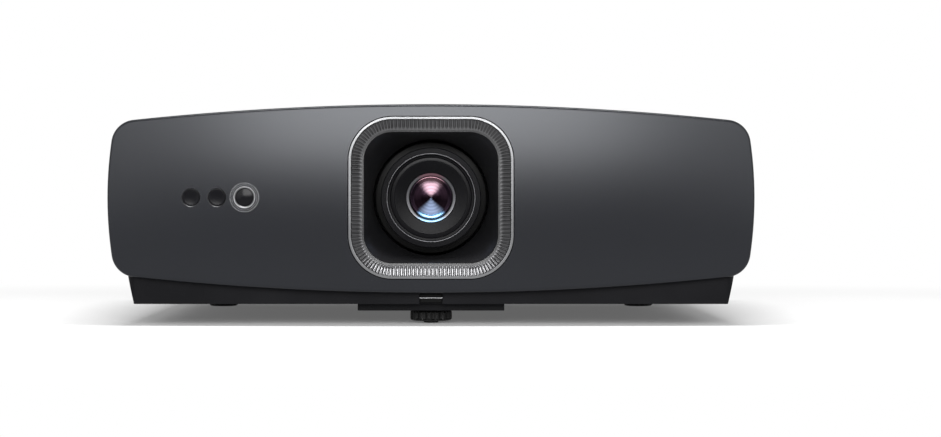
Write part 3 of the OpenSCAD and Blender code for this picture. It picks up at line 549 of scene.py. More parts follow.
FINISHES = {
    "case_black": dict(colour=(0.0055, 0.0055, 0.0065),
                       roughness=0.3, grain=900.0, depth=0.03, specular=0.05),
    "cover_black": dict(colour=(0.020, 0.021, 0.024),
                        roughness=0.46, grain=1100.0, depth=0.07, specular=0.45),
    "grille_black": dict(colour=(0.016, 0.016, 0.017),
                         roughness=0.48, grain=1400.0, depth=0.05, specular=0.4),
    "panel_black": dict(colour=(0.017, 0.0175, 0.0195),
                        roughness=0.48, grain=1100.0, depth=0.07, specular=0.45),
    "hood_black": dict(colour=(0.007, 0.007, 0.008), roughness=0.36, specular=0.5, grain=1600.0, depth=0.02),
    "rib_metal": dict(colour=(0.10, 0.10, 0.103), roughness=0.3, metallic=1.0, grain=1600.0, depth=0.01),
    "cast_metal": dict(colour=(0.30, 0.31, 0.33), roughness=0.5, metallic=0.9, grain=700.0, depth=0.15),
    "lens_black": dict(colour=(0.004, 0.004, 0.0048),
                       roughness=0.25, specular=0.06, grain=2000.0, depth=0.01),
    "ring_rubber": dict(colour=(0.0055, 0.0055, 0.0055),
                        roughness=0.5, grain=1500.0, depth=0.06, specular=0.1),
    "silver_ring": dict(colour=(0.72, 0.72, 0.73),
                        roughness=0.22, metallic=1.0, spread=0.1, stretch=(1, 1, 8)),
    "bright_trim": dict(colour=(0.19, 0.192, 0.197), roughness=0.24, metallic=1.0, spread=0.1, depth=0.005),
    "circuit_board": dict(colour=(0.010, 0.075, 0.030), roughness=0.4, broad=260.0, spread=0.9, coat=0.4),
    "power_board": dict(colour=(0.30, 0.18, 0.06), roughness=0.5, broad=240.0, spread=0.6),
    "copper": dict(colour=(0.80, 0.36, 0.20), roughness=0.32, metallic=1.0, spread=0.3),
    "fin_aluminium": dict(colour=(0.70, 0.71, 0.73), roughness=0.36, metallic=1.0, stretch=(1, 1, 12)),
    "fan_plastic": dict(colour=(0.013, 0.013, 0.014), roughness=0.42, grain=1300.0, depth=0.04),
    "speaker_paper": dict(colour=(0.030, 0.028, 0.026), roughness=0.85, grain=600.0, depth=0.4, broad=160.0),
    "socket_steel": dict(colour=(0.62, 0.62, 0.63), roughness=0.3, metallic=1.0, stretch=(8, 1, 1)),
    "key_plastic": dict(colour=(0.040, 0.041, 0.045), roughness=0.34, grain=1700.0, depth=0.03),
    "post_plastic": dict(colour=(0.010, 0.010, 0.010), roughness=0.5, specular=0.2, grain=1200.0, depth=0.06),
    "foot_rubber": dict(colour=(0.0065, 0.0065, 0.0065),
                        roughness=0.4, specular=0.15, grain=1100.0, depth=0.1),
    "button_plastic": dict(colour=(0.0045, 0.0045, 0.0045),
                           roughness=0.3, specular=0.03, grain=1500.0, depth=0.03),
    "screw_steel": dict(colour=(0.32, 0.32, 0.33), roughness=0.34, metallic=1.0, spread=0.3),
    "engraved": dict(colour=(0.10, 0.10, 0.105), roughness=0.3, metallic=1.0, depth=0.0),
    "window_edge": dict(colour=(0.19, 0.19, 0.195), roughness=0.3, metallic=1.0, depth=0.0),
    "camera_edge": dict(colour=(0.19, 0.19, 0.195), roughness=0.3, metallic=1.0, depth=0.0),
    "print_grey": dict(colour=(0.45, 0.45, 0.46), roughness=0.5, depth=0.0),
    "dark_window": dict(colour=(0.0045, 0.0045, 0.0055), roughness=0.16, depth=0.0, wear=0.04, specular=0.09),
}
MADE = {}


def satin_shell():
    """Satin metallic coat of the front shell, with very fine flakes."""
    material = surface("shell_grey", colours().shell, roughness=colours().shell_roughness,
                       grain=2600.0, depth=0.003, spread=0.1, wear=0.0, ior=1.35)
    reflection = material.node_tree.nodes["Principled BSDF"].inputs["Specular Tint"]
    reflection.default_value = (0.93, 0.955, 1.0, 1.0)
    return material


def painted_reflection_wedge(name, sides, above, below, roughness, narrow, wide, ripple=0.0):
    """Polished metal whose colour is painted with lamp reflections: one tint in a wedge above the axis,
    another below it and a third at the sides.
    """
    material, tree, shader = new_material(name)
    place = node(tree, "ShaderNodeTexCoord")
    parts = node(tree, "ShaderNodeSeparateXYZ", {"Vector": place.outputs["Object"]})
    up = maths(tree, "SUBTRACT", parts.outputs["Z"], AXIS_Z)
    across = maths(tree, "ABSOLUTE", parts.outputs["X"])
    tall = maths(tree, "MAXIMUM", maths(tree, "ABSOLUTE", up), 0.0003)
    # wedge round the upright axis where the painted reflection tints of the top and bottom show
    inside = node(tree, "ShaderNodeMapRange",
                  {"Value": maths(tree, "DIVIDE", across, tall), "From Min": narrow, "From Max": wide,
                   "To Min": 1.0, "To Max": 0.0}, interpolation_type="SMOOTHSTEP")
    half = node(tree, "ShaderNodeMapRange",
                {"Value": up, "From Min": -0.001, "From Max": 0.001},
                interpolation_type="SMOOTHSTEP")
    # painted reflection: the lower tint below the axis, the upper tint above it, the side tint outside the
    # wedge
    two = node(tree, "ShaderNodeMix", {"Factor": half.outputs["Result"]}, data_type="RGBA")
    set_colours(two, below, above)
    full = node(tree, "ShaderNodeMix", {"Factor": inside.outputs["Result"]}, data_type="RGBA")
    set_colours(full, sides, above)
    tree.links.new(two.outputs[2], full.inputs[7])
    # faint darker rings across the painted reflection
    flat = node(tree, "ShaderNodeCombineXYZ", {"X": parts.outputs["X"], "Y": up})
    reach = node(tree, "ShaderNodeVectorMath", {0: flat.outputs["Vector"]}, operation="LENGTH")
    turns = maths(tree, "MULTIPLY", reach.outputs["Value"], TAU / RIPPLE_PITCH)
    dim = ranged(tree, maths(tree, "SINE", turns), 1.0 - ripple, 1.0, start=-1.0, end=1.0)
    toned = node(tree, "ShaderNodeVectorMath", {0: full.outputs[2], "Scale": dim}, operation="SCALE")
    tree.links.new(toned.outputs["Vector"], shader.inputs["Base Color"])
    shader.inputs["Metallic"].default_value = 1.0
    shader.inputs["Roughness"].default_value = roughness
    return material


def set_colours(mix, a, b):
    """Sets the two colours of a colour mix node."""
    mix.inputs[6].default_value = (*a, 1.0)
    mix.inputs[7].default_value = (*b, 1.0)


# lens glass colour painted with lamp reflections: pink above the axis, blue below it, purple-brown at the
# sides, with faint darker rings
def paint_glass_reflection():
    return painted_reflection_wedge("coated_glass", (0.009, 0.005, 0.008), colours().painted_reflection_top, colours().painted_reflection_bottom,
                        0.17, 0.1, 1.3, ripple=0.25)


# silver ring colour painted with lamp reflections: pink above the axis, blue below it, grey at the sides
def paint_ring_reflection():
    return painted_reflection_wedge("silver_ring_painted_reflection", (0.075, 0.075, 0.080), (0.13, 0.07, 0.085), (0.09, 0.16, 0.24),
                        0.28, 0.2, 0.9)


# lens lip colour painted with lamp reflections: pink above the axis, blue below it, with faint darker rings
def paint_lip_reflection():
    return painted_reflection_wedge("lip_painted_reflection", (0.008, 0.005, 0.008), (0.09, 0.05, 0.06), (0.12, 0.24, 0.4),
                        0.22, 0.2, 1.1, ripple=0.2)


def light_pipe():
    """Milky light pipe with a faint glow in its core."""
    material = surface("light_pipe", (0.5, 0.55, 0.6), roughness=0.3, coat=0.3)
    shader = material.node_tree.nodes["Principled BSDF"]
    shader.inputs["Emission Color"].default_value = (0.3, 0.6, 1.0, 1.0)
    shader.inputs["Emission Strength"].default_value = 0.25
    return material


def clear_prism():
    material = surface("prism_glass", (0.85, 0.92, 0.95), roughness=0.05, depth=0.0)
    material.node_tree.nodes["Principled BSDF"].inputs["Transmission Weight"].default_value = 1.0
    return material


SPECIAL = {
    "shell_grey": satin_shell,
    "coated_glass": paint_glass_reflection,
    "silver_ring_painted_reflection": paint_ring_reflection,
    "lip_painted_reflection": paint_lip_reflection,
    "light_pipe": light_pipe,
    "prism_glass": clear_prism,
}
SLOT_OF = {part["node"]: part["material_slot"] for part in frame["record"]["subparts"]}


def finish(slot):
    """The material of a slot, made once."""
    if slot not in MADE:
        MADE[slot] = SPECIAL[slot]() if slot in SPECIAL else surface(slot, **FINISHES[slot])
    return MADE[slot]


# ---- Front shell, hood and windows ----

def fascia_holes():
    found = []
    for x, radius in WINDOW_HOLES:
        rings = []
        for y in (FRONT_Y - 0.005, FRONT_Y + 0.016):
            turns = [TAU * i / HOLE_SIDES for i in range(HOLE_SIDES)]
            rings.append([(x + radius * math.sin(a), y, WINDOW_Z + radius * math.cos(a)) for a in turns])
        found.append(loft(rings, caps=True))
    return found


def build_fascia():
    s = shell()
    outer = Outline(half_outline())
    inner = Outline(rounded_half(HOOD_W + 0.0008, HOOD_H + 0.0008, hood().corner + 0.0004))
    angles = ring_angles()

    def face_ring(t, depth=0.0, inset=None):
        ring = []
        for angle in angles:
            p = inner.at(angle).lerp(outer.at(angle, s.edge if inset is None else inset), t)
            ring.append((p.x, face_y(p.x, p.y) + depth, p.y))
        return ring

    def edge_ring(inset, depth):
        ring = []
        for angle in angles:
            flat = outer.at(angle, s.edge)
            p = outer.at(angle, inset)
            ring.append((p.x, face_y(flat.x, flat.y) + depth, p.y))
        return ring

    def deep_ring(inset, y):
        return [(p.x, y, p.y) for p in (outer.at(angle, inset) for angle in angles)]

    rings = [face_ring(0.0, 0.0006)]
    steps = 26
    rings += [face_ring(i / steps) for i in range(steps + 1)]
    for i in range(1, EDGE_STEPS + 1):
        angle = math.pi / 2 * i / EDGE_STEPS
        rings.append(edge_ring(s.edge * (1 - math.sin(angle)), s.edge * (1 - math.cos(angle))))
    rings.append(deep_ring(0.0, FASCIA_BACK - 0.0004))
    rings.append(deep_ring(0.0004, FASCIA_BACK))
    rings.append(deep_ring(s.wall, FASCIA_BACK))
    rings.append(edge_ring(s.wall, s.edge + 0.001))
    rings.append(face_ring(1.0, s.wall, s.edge + 0.001))
    rings += [face_ring(t, s.wall) for t in (0.75, 0.5, 0.25, 0.0)]
    piece = new_piece("fascia_shell", loft(rings, closed_rings=True), "case", "shell_grey",
                      replaces=("front_fascia",))
    cut(piece, fascia_holes())
    sharpen(piece, 35)


def rounded_loop(width, height, radius, count):
    """Points and normals evenly spaced along a rounded rectangle round the lens axis."""
    flat_x, flat_z = width / 2 - radius, height / 2 - radius
    quarter = math.pi * radius / 2
    legs = [("line", Vector((0, height / 2)), Vector((flat_x, height / 2)), Vector((0, 1)), flat_x),
            ("arc", Vector((flat_x, flat_z)), 90.0, None, quarter),
            ("line", Vector((width / 2, flat_z)), Vector((width / 2, -flat_z)), Vector((1, 0)), 2 * flat_z),
            ("arc", Vector((flat_x, -flat_z)), 0.0, None, quarter),
            ("line", Vector((flat_x, -height / 2)), Vector((-flat_x, -height / 2)), Vector((0, -1)),
             2 * flat_x),
            ("arc", Vector((-flat_x, -flat_z)), -90.0, None, quarter),
            ("line", Vector((-width / 2, -flat_z)), Vector((-width / 2, flat_z)), Vector((-1, 0)),
             2 * flat_z),
            ("arc", Vector((-flat_x, flat_z)), -180.0, None, quarter),
            ("line", Vector((-flat_x, height / 2)), Vector((0, height / 2)), Vector((0, 1)), flat_x)]
    total = sum(leg[4] for leg in legs)
    found = []
    for i in range(count):
        along = total * i / count
        for kind, a, b, normal, size in legs:
            if along <= size or kind is legs[-1]:
                break
            along -= size
        share = min(along / size, 1.0)
        if kind == "line":
            found.append((a.lerp(b, share), normal))
        else:
            angle = math.radians(b - 90.0 * share)
            out = Vector((math.cos(angle), math.sin(angle)))
            found.append((a + out * radius, out))
    return found


def hood_ring(loop, inset, depth, follow=1.0, rib=None):
    """A ring of the recess: inset from its outer edge, and depth behind the bowed face."""
    ring = []
    for i, (p, n) in enumerate(loop):
        q = p - n * inset
        if rib:
            q = q + n * rib(i)
        base = face_y(q.x, q.y + AXIS_Z) * follow + (FRONT_Y + 0.001) * (1 - follow)
        ring.append((q.x, base + depth, q.y + AXIS_Z))
    return ring


def build_trim():
    h = hood()
    loop = rounded_loop(HOOD_W, HOOD_H, h.corner, 640)
    w = h.trim_width
    profile = [(0.0, 0.0034), (0.0, 0.0005), (0.0001, 0.0003), (0.0003, 0.00018), (w - 0.0003, 0.0),
               (w - 0.0001, 0.0001), (w, 0.0005), (w, 0.0034)]
    new_piece("recess_trim", loft([hood_ring(loop, a, b) for a, b in profile], closed_rings=True),
              "case", "bright_trim", replaces=("hood_trim",), smooth=12)


def build_hood():
    h = hood()
    per_rib = len(RIB_SHAPE)
    count = h.rib_count * per_rib
    loop = rounded_loop(HOOD_W, HOOD_H, h.corner, count)
    start = h.trim_width
    end = start + h.rib_width
    rings = [hood_ring(loop, start + 0.0002, 0.0031), hood_ring(loop, start + 0.00005, 0.0012)]
    for k in range(RIB_STEPS + 1):
        t = k / RIB_STEPS
        fade = min(1.0, t / 0.12, (1 - t) / 0.12)

        def rib(i, fade=fade):
            return h.rib_height * fade * RIB_SHAPE[i % per_rib]

        rings.append(hood_ring(loop, start + h.rib_width * t, 0.0012 + h.rib_depth * t, rib=rib))
    bead = 0.0012 + h.rib_depth

    def beads(i):
        return -0.00035 * (0.5 - 0.5 * math.cos(TAU * 2 * (i % per_rib) / per_rib))

    rings.append(hood_ring(loop, end + 0.0003, bead + 0.0001))
    rings.append(hood_ring(loop, end + 0.0006, bead + 0.0001, rib=beads))
    rings.append(hood_ring(loop, end + 0.0010, bead + 0.0002, rib=beads))
    rings.append(hood_ring(loop, end + 0.0013, bead + 0.0006))
    front = rings[-1]
    mouth = HOOD_MOUTH_R
    funnel = []
    steps = 14
    for k in range(1, steps + 1):
        t = k / steps
        ring = []
        for x, y, z in front:
            out = Vector((x, z - AXIS_Z))
            goal = out.normalized() * mouth
            blend = t ** 0.85
            p = out.lerp(goal, blend)
            ring.append((p.x, y + (HOOD_BACK - 0.0002 - y) * t, p.y + AXIS_Z))
        funnel.append(ring)
    rings += funnel
    for k in range(3):
        t = k / 2
        ring = []
        for (x, y, z), (u, v, w) in zip(funnel[-1], hood_ring(loop, start + 0.0002, 0.0031)):
            a = Vector((x, z - AXIS_Z))
            b = Vector((u, w - AXIS_Z))
            p = (a + a.normalized() * 0.002).lerp(b * 0.985, t)
            ring.append((p.x, HOOD_BACK + (v + 0.008 - HOOD_BACK) * t, p.y + AXIS_Z))
        rings.append(ring)
    piece = new_piece("recess_funnel", loft(rings, closed_rings=True), "case", "hood_black",
                      replaces=("lens_hood",), smooth=40)
    piece.data.materials.append(finish("rib_metal"))
    ribbed = range(count, count * (RIB_STEPS + 2))
    for i in ribbed:
        piece.data.polygons[i].material_index = 1


def disc_profile(radius, front, back, dome=0.0, edge=0.0003, steps=8):
    """Half profile of a disc with a rounded rim and a soft dome, as (radius, depth)."""
    found = [(AXLE, front)]
    for i in range(1, steps + 1):
        r = (radius - edge) * i / steps
        found.append((r, front + dome * (i / steps) ** 2))
    for i in range(1, 5):
        angle = math.pi / 2 * i / 4
        found.append((radius - edge + edge * math.sin(angle), front + dome + edge * (1 - math.cos(angle))))
    found.append((radius, back))
    found.append((AXLE, back))
    return found


def build_windows():
    z = WINDOW_Z
    for i, (x, radius) in enumerate(WINDOW_HOLES[:2]):
        y = face_y(x, z)
        name = ("left", "right")[i]
        profile = disc_profile(radius - 0.0006, y + 0.0009, y + 0.003, dome=-0.0002)
        new_piece("sensor_glass_" + name, lathe(profile, 96, centre_x=x, centre_z=z), "case", "dark_window",
                  replaces=("sensor_windows",) if i == 0 else ())
        bezel = [(radius + 0.00004, y + 0.0002), (radius - 0.00005, y + 0.00005),
                 (radius - 0.0006, y + 0.0007), (radius - 0.00065, y + 0.003), (radius + 0.00004, y + 0.003)]
        new_piece("sensor_bezel_" + name, lathe(bezel, 96, centre_x=x, centre_z=z), "case", "shell_grey",
                  look="window_edge", smooth=50)
    x, radius = WINDOW_HOLES[2]
    y = face_y(x, z)
    ring_in = radius - 0.0013
    ring = [(radius, y + 0.0025), (radius, y - 0.0001), (radius - 0.00015, y - 0.0003),
            (radius - 0.0004, y - 0.00032), (ring_in + 0.0002, y + 0.0003), (ring_in, y + 0.0006),
            (ring_in, y + 0.0025)]
    new_piece("camera_bezel", lathe(ring, 128, centre_x=x, centre_z=z), "case", "silver_ring",
              look="camera_edge", replaces=("camera_ring", "camera_module"), smooth=50)
    glass = disc_profile(ring_in - 0.00005, y + 0.0006, y + 0.0025, dome=0.0006)
    new_piece("camera_glass", lathe(glass, 96, centre_x=x, centre_z=z), "case", "dark_window")
    dots = bmesh.new()
    for reach, count, size in ((0.0081, 52, 0.00016), (0.0093, 52, 0.0002)):
        for i in range(count):
            angle = TAU * (i + (0.5 if reach > 0.009 else 0.0)) / count
            add_dot(dots, x + reach * math.sin(angle), z + reach * math.cos(angle), size)
    new_piece("camera_dots", dots, "case", "key_plastic", look="print_grey")
    back = [(AXLE, y + 0.0032), (radius + 0.001, y + 0.0032), (radius + 0.001, y + 0.0085),
            (0.0045, y + 0.009), (0.0045, y + 0.011), (AXLE, y + 0.011)]
    new_piece("camera_block", lathe(back, 96, centre_x=x, centre_z=z), "case", "lens_black")


def add_dot(made, x, z, size):
    """A tiny raised dot on the bowed face."""
    place = face_y(x, z)
    top = made.verts.new((x, place - 0.00006, z))
    rim = []
    for k in range(10):
        turn = TAU * k / 10
        rim.append(made.verts.new((x + size * math.sin(turn), place - 0.00002, z + size * math.cos(turn))))
    low = made.verts.new((x, place + 0.0003, z))
    for k in range(10):
        made.faces.new((top, rim[k], rim[(k + 1) % 10]))
        made.faces.new((low, rim[(k + 1) % 10], rim[k]))


def flutes(count, depth, low, high, rim, power, fade=None):
    """Moves the points outside a rim inward, in flutes between two places along the axis."""
    def wave(angle, radius, along):
        if radius <= rim or along < low or along > high:
            return 0.0
        share = min(1.0, (along - low) / fade, (high - along) / fade) if fade else 1.0
        return -depth * share * (0.5 - 0.5 * math.cos(angle * count)) ** power
    return wave


# ---- Lens ----

def fine_steps(outer, inner, front, back, count):
    """Small baffle steps on a cone from (outer radius, front) to (inner radius, back)."""
    found = []
    for i in range(count):
        a, b = i / count, (i + 1) / count
        r0 = outer + (inner - outer) * a
        r1 = outer + (inner - outer) * b
        y0 = front + (back - front) * a
        y1 = front + (back - front) * b
        found.append((r0, y0))
        found.append((r1 + (r0 - r1) * 0.15, y0 + (y1 - y0) * 0.1))
        found.append((r1, y0 + (y1 - y0) * 0.25))
    found.append((inner, back))
    return found


def build_barrel():
    front = LENS_Y
    mouth = LENS_MOUTH_R
    tube = LENS_TUBE_R
    bore = tube - 0.003
    back = LENS_HIGH.y
    profile = [(LENS_R, front + 0.0078), (LENS_R, front + 0.0006), (LENS_R - 0.0002, front + 0.0002),
               (LENS_R - 0.0006, front), (mouth + 0.0010, front), (mouth + 0.0006, front + 0.0002),
               (mouth + 0.0002, front + 0.0005), (mouth, front + 0.0009)]
    for i in range(5):
        y = front + 0.0012 + i * 0.00055
        profile += [(mouth, y), (mouth - 0.00018, y + 0.0002), (mouth, y + 0.0004)]
    profile += [(mouth, front + 0.004), (bore, front + 0.0041), (bore, back), (tube, back),
                (tube, front + 0.0081), (LENS_R - 0.0003, front + 0.008)]
    new_piece("lens_tube", lathe(profile, 200), "carriage", "lens_black",
              replaces=("lens_barrel",), smooth=20)
    rim = [(mouth + 0.00062, front + 0.00012), (mouth + 0.00042, front + 0.00008),
           (mouth + 0.0001, front + 0.0004), (mouth + 0.00002, front + 0.0008),
           (mouth + 0.0002, front + 0.001), (mouth + 0.0006, front + 0.0006)]
    new_piece("lens_rim", lathe(rim, 200), "carriage", "lens_black", look="engraved", smooth=60)


def build_cell():
    front = CELL_LOW.y
    back = CELL_HIGH.y
    r = CELL_R
    rim = r - 0.003
    profile = [(r, back), (r, front + 0.0004), (r - 0.0002, front + 0.0001), (r - 0.0005, front),
               (rim + 0.0004, front), (rim + 0.0001, front + 0.0002)]
    profile += fine_steps(rim, SEAT_R + 0.0003, front + 0.0005, front + 0.0058, 9)
    profile += [(SEAT_R + 0.00005, front + 0.0059), (SEAT_R + 0.00005, front + 0.0081),
                (0.014, front + 0.0082), (0.014, back)]
    new_piece("lens_cell", lathe(profile, 200), "focus_cell", "lens_black",
              replaces=("focus_cell",), smooth=24)
    low, high = span("retaining_ring")
    inner = 0.0139
    ring = [(SEAT_R, high.y - 0.0002), (SEAT_R, low.y + 0.0003), (SEAT_R - 0.0003, low.y),
            (inner + 0.0012, low.y + 0.0001), (inner + 0.0006, low.y + 0.0004), (inner, low.y + 0.001),
            (inner, high.y - 0.0002)]
    # the silver ring takes painted reflections: pink above the axis, blue below it
    new_piece("lens_silver_ring", lathe(ring, 200), "focus_cell", "silver_ring", look="silver_ring_painted_reflection",
              replaces=("retaining_ring",), smooth=28)
    lip = [(inner - 0.00005, high.y - 0.0003), (inner - 0.00005, low.y + 0.0006),
           (inner - 0.0005, low.y + 0.0005), (0.0118, low.y + 0.0009), (0.0113, low.y + 0.0011),
           (0.0111, high.y - 0.0003)]
    # the lens lip takes painted reflections: pink above the axis, blue below it
    new_piece("lens_lip", lathe(lip, 200), "focus_cell", "coated_glass", look="lip_painted_reflection", smooth=28)
    low, high = span("front_glass")
    edge = GLASS_EDGE_R
    dome = []
    steps = 24
    depth = GLASS_SAG
    radius = (edge ** 2 + depth ** 2) / (2 * depth)
    for i in range(steps + 1):
        rr = max(AXLE, (edge - 0.0001) * i / steps)
        dome.append((rr, low.y + radius - math.sqrt(radius ** 2 - rr ** 2)))
    dome += [(edge, low.y + depth + 0.0004), (edge, high.y - 0.0002), (edge - 0.0002, high.y),
             (AXLE, high.y)]
    # the lens glass's colour carries painted reflections: pink above the axis, blue below it
    new_piece("lens_glass", lathe(dome, 160), "focus_cell", "coated_glass",
              replaces=("front_glass",), smooth=40)


def build_rings():
    for node_name, body, teeth in (("focus_ring", "focus_ring", 72), ("zoom_ring", "zoom_ring", 60)):
        low, high = span(node_name)
        radius = -low.x
        bore = LENS_TUBE_R + 0.0003
        y0, y1 = low.y, high.y
        profile = [(bore, y0 + 0.0003), (bore + 0.0003, y0), (radius - 0.0008, y0),
                   (radius - 0.0002, y0 + 0.0003), (radius, y0 + 0.0008)]
        rows = 12
        for i in range(rows + 1):
            profile.append((radius, y0 + 0.0018 + (y1 - y0 - 0.0036) * i / rows))
        profile += [(radius, y1 - 0.0008), (radius - 0.0002, y1 - 0.0003), (radius - 0.0008, y1),
                    (bore + 0.0003, y1), (bore, y1 - 0.0003)]
        wave = flutes(teeth, 0.0007, y0 + 0.0017, y1 - 0.0017, radius - RIM_GAP, 1.5, fade=0.0006)
        made = lathe(profile, teeth * 8, wave=wave)
        if node_name == "zoom_ring":
            add_box(made, (*ZOOM_LEVER[0], AXIS_Z + radius - 0.0015), (*ZOOM_LEVER[1], high.z))
        piece = new_piece(node_name + "_grip", made, body, "ring_rubber",
                          replaces=(node_name,), smooth=40)
        if node_name == "zoom_ring":
            round_edges(piece, 0.0005, 60)


# ---- Feet ----

def build_feet():
    for node_name, pad_r in (("front_foot", 0.005), ("rear_foot_left", 0.0), ("rear_foot_right", 0.0)):
        low, high = span(node_name)
        centre = (low + high) / 2
        radius = high.x - centre.x
        knob_low = low.z + (0.0014 if pad_r else 0.0)
        knob_high = low.z + (0.0086 if pad_r else 0.0090)
        stem = 0.0028
        profile = []
        if pad_r:
            profile += [(AXLE, low.z), (pad_r - 0.0004, low.z), (pad_r - 0.0001, low.z + 0.0001),
                        (pad_r, low.z + 0.0004), (pad_r, knob_low), (radius - 0.0022, knob_low)]
        else:
            profile += [(AXLE, low.z), (radius - 0.0022, low.z)]
        profile += [(radius - 0.0009, knob_low + 0.0003), (radius - 0.0003, knob_low + 0.0009),
                    (radius, knob_low + 0.0016)]
        for i in range(1, 8):
            profile.append((radius, knob_low + 0.0016 + (knob_high - knob_low - 0.0032) * i / 8))
        profile += [(radius, knob_high - 0.0016), (radius - 0.0003, knob_high - 0.0009),
                    (radius - 0.0009, knob_high - 0.0003), (radius - 0.002, knob_high), (stem, knob_high),
                    (stem, high.z - 0.0003), (stem - 0.0003, high.z), (AXLE, high.z)]
        wave = flutes(FOOT_FLUTES, 0.0013, knob_low + 0.0015, knob_high - 0.0015, radius - RIM_GAP, 1.4)
        new_piece(node_name + "_knob", lathe_up(profile, centre, FOOT_FLUTES * 16, wave=wave), node_name,
                  "foot_rubber", replaces=(node_name,), smooth=35)


# ---- Softened CAD pieces ----

SOFT_GROUPS = {
    "cover": (("top_cover", 0.0003), ("left_grille", 0.0003), ("right_grille", 0.0003),
              ("rear_panel", 0.0004), ("base_chassis", 0.0004), ("foot_plate", 0.0005)),
    "door": (("lens_door", 0.00025),),
    "keys": (("key_power", 0.0004), ("key_menu", 0.0004), ("key_ok", 0.0005), ("key_up", 0.0004),
             ("key_down", 0.0004), ("key_left", 0.0004), ("key_right", 0.0004), ("status_lights", 0.0002)),
    "sockets": (("hdmi_sockets", 0.0002), ("usb_sockets", 0.0002), ("audio_jacks", 0.0002),
                ("mains_inlet", 0.0003)),
    "release": (("release_button", 0.0004), ("front_post", 0.0003)),
}


def build_soft(group):
    for node_name, width in SOFT_GROUPS[group]:
        softened(node_name, width)


def build_release_bar():
    """The slim bright bar across the face of the release button."""
    low, high = span("release_button")
    inset = 0.0012
    height = 0.0004
    z = (low.z + high.z) / 2 + 0.0002
    made = bmesh.new()
    add_box(made, (low.x + inset, low.y - 0.0003, z - height), (high.x - inset, low.y + 0.0002, z + height))
    piece = new_piece("release_bar", made, "release_button", "button_plastic", look="window_edge", smooth=0)
    round_edges(piece, 0.0002)


def build_insides():
    """Gives every CAD node that is still shown its own finish."""
    for name, source in frame["nodes"].items():
        if source.hide_render:
            continue
        source.data.materials.clear()
        source.data.materials.append(finish(SLOT_OF[name]))


# ---- Stage ----

def white_floor():
    material, tree, shader = new_material("white_floor")
    place = node(tree, "ShaderNodeTexCoord")
    cloud = node(tree, "ShaderNodeTexNoise", {"Vector": place.outputs["Object"], "Scale": 3.0})
    shade = ranged(tree, cloud.outputs["Fac"], FLOOR_TONE - 0.01, FLOOR_TONE + 0.01)
    tree.links.new(scaled_colour(tree, (1.0, 1.0, 1.0), shade), shader.inputs["Base Color"])
    shader.inputs["Roughness"].default_value = 0.9
    shader.inputs["Specular IOR Level"].default_value = 0.0
    narrowed = node(tree, "ShaderNodeVectorMath", {0: place.outputs["Object"], 1: (0.62, 1.0, 1.0)},
                    operation="MULTIPLY")
    away = node(tree, "ShaderNodeVectorMath", {0: narrowed.outputs["Vector"]}, operation="LENGTH")
    # the emission share is FLOOR_GLOW near the case, painted light lifting the shadow there, and rises to
    # plain white further out
    fade = node(tree, "ShaderNodeMapRange", {"Value": away.outputs["Value"], "From Min": FADE_START,
                                             "From Max": FADE_END, "To Min": FLOOR_GLOW},
                interpolation_type="SMOOTHSTEP")
    bright = node(tree, "ShaderNodeEmission", {"Color": (1.0, 1.0, 1.0, 1.0), "Strength": 1.0})
    mixed = node(tree, "ShaderNodeMixShader", {0: fade.outputs["Result"], 1: shader.outputs["BSDF"],
                                               2: bright.outputs["Emission"]})
    tree.links.new(mixed.outputs["Shader"], tree.nodes["Material Output"].inputs["Surface"])
    return material


def plain_world():
    world = bpy.data.worlds.new("white_surroundings")
    bpy.context.scene.world = world
    world.use_nodes = True
    tree = world.node_tree
    back = tree.nodes["Background"]
    rays = node(tree, "ShaderNodeLightPath")
    seen_rays = maths(tree, "ADD", rays.outputs["Is Camera Ray"], rays.outputs["Is Glossy Ray"])
    seen_rays = maths(tree, "ADD", seen_rays, rays.outputs["Is Transmission Ray"], clamp=True)
    back.inputs["Color"].default_value = (1.0, 1.0, 1.0, 1.0)
    back.inputs["Strength"].default_value = WORLD_FILL
    seen = node(tree, "ShaderNodeBackground", {"Color": (1.0, 1.0, 1.0, 1.0), "Strength": 1.0})
    mixed = node(tree, "ShaderNodeMixShader", {0: seen_rays, 1: back.outputs["Background"],
                                               2: seen.outputs["Background"]})
    tree.links.new(mixed.outputs["Shader"], tree.nodes["World Output"].inputs["Surface"])


def soft_light(name, place, target, width, height, power):
    light = bpy.data.lights.new(name, "AREA")
    light.shape = "RECTANGLE"
    light.size = width
    light.size_y = height
    light.energy = power
    lamp = bpy.data.objects.new(name, light)
    lamp.location = place
    lamp.rotation_euler = (Vector(target) - Vector(place)).to_track_quat("-Z", "Y").to_euler()
    bpy.context.scene.collection.objects.link(lamp)


def surround(name, made, material):
    """Turns a bmesh into a piece of the surroundings."""
    mesh = bpy.data.meshes.new(name)
    made.to_mesh(mesh)
    made.free()
    piece = bpy.data.objects.new(name, mesh)
    mesh.materials.append(material)
    bpy.context.scene.collection.objects.link(piece)
    piece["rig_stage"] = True
    return piece


def dark_card(name, low, high):
    """A felt card that only reflections see."""
    made = bmesh.new()
    add_box(made, low, high)
    bmesh.ops.recalc_face_normals(made, faces=made.faces)
    card = surround(name, made, surface(name + "_felt", (0.01, 0.01, 0.01), roughness=0.9))
    card.visible_camera = False


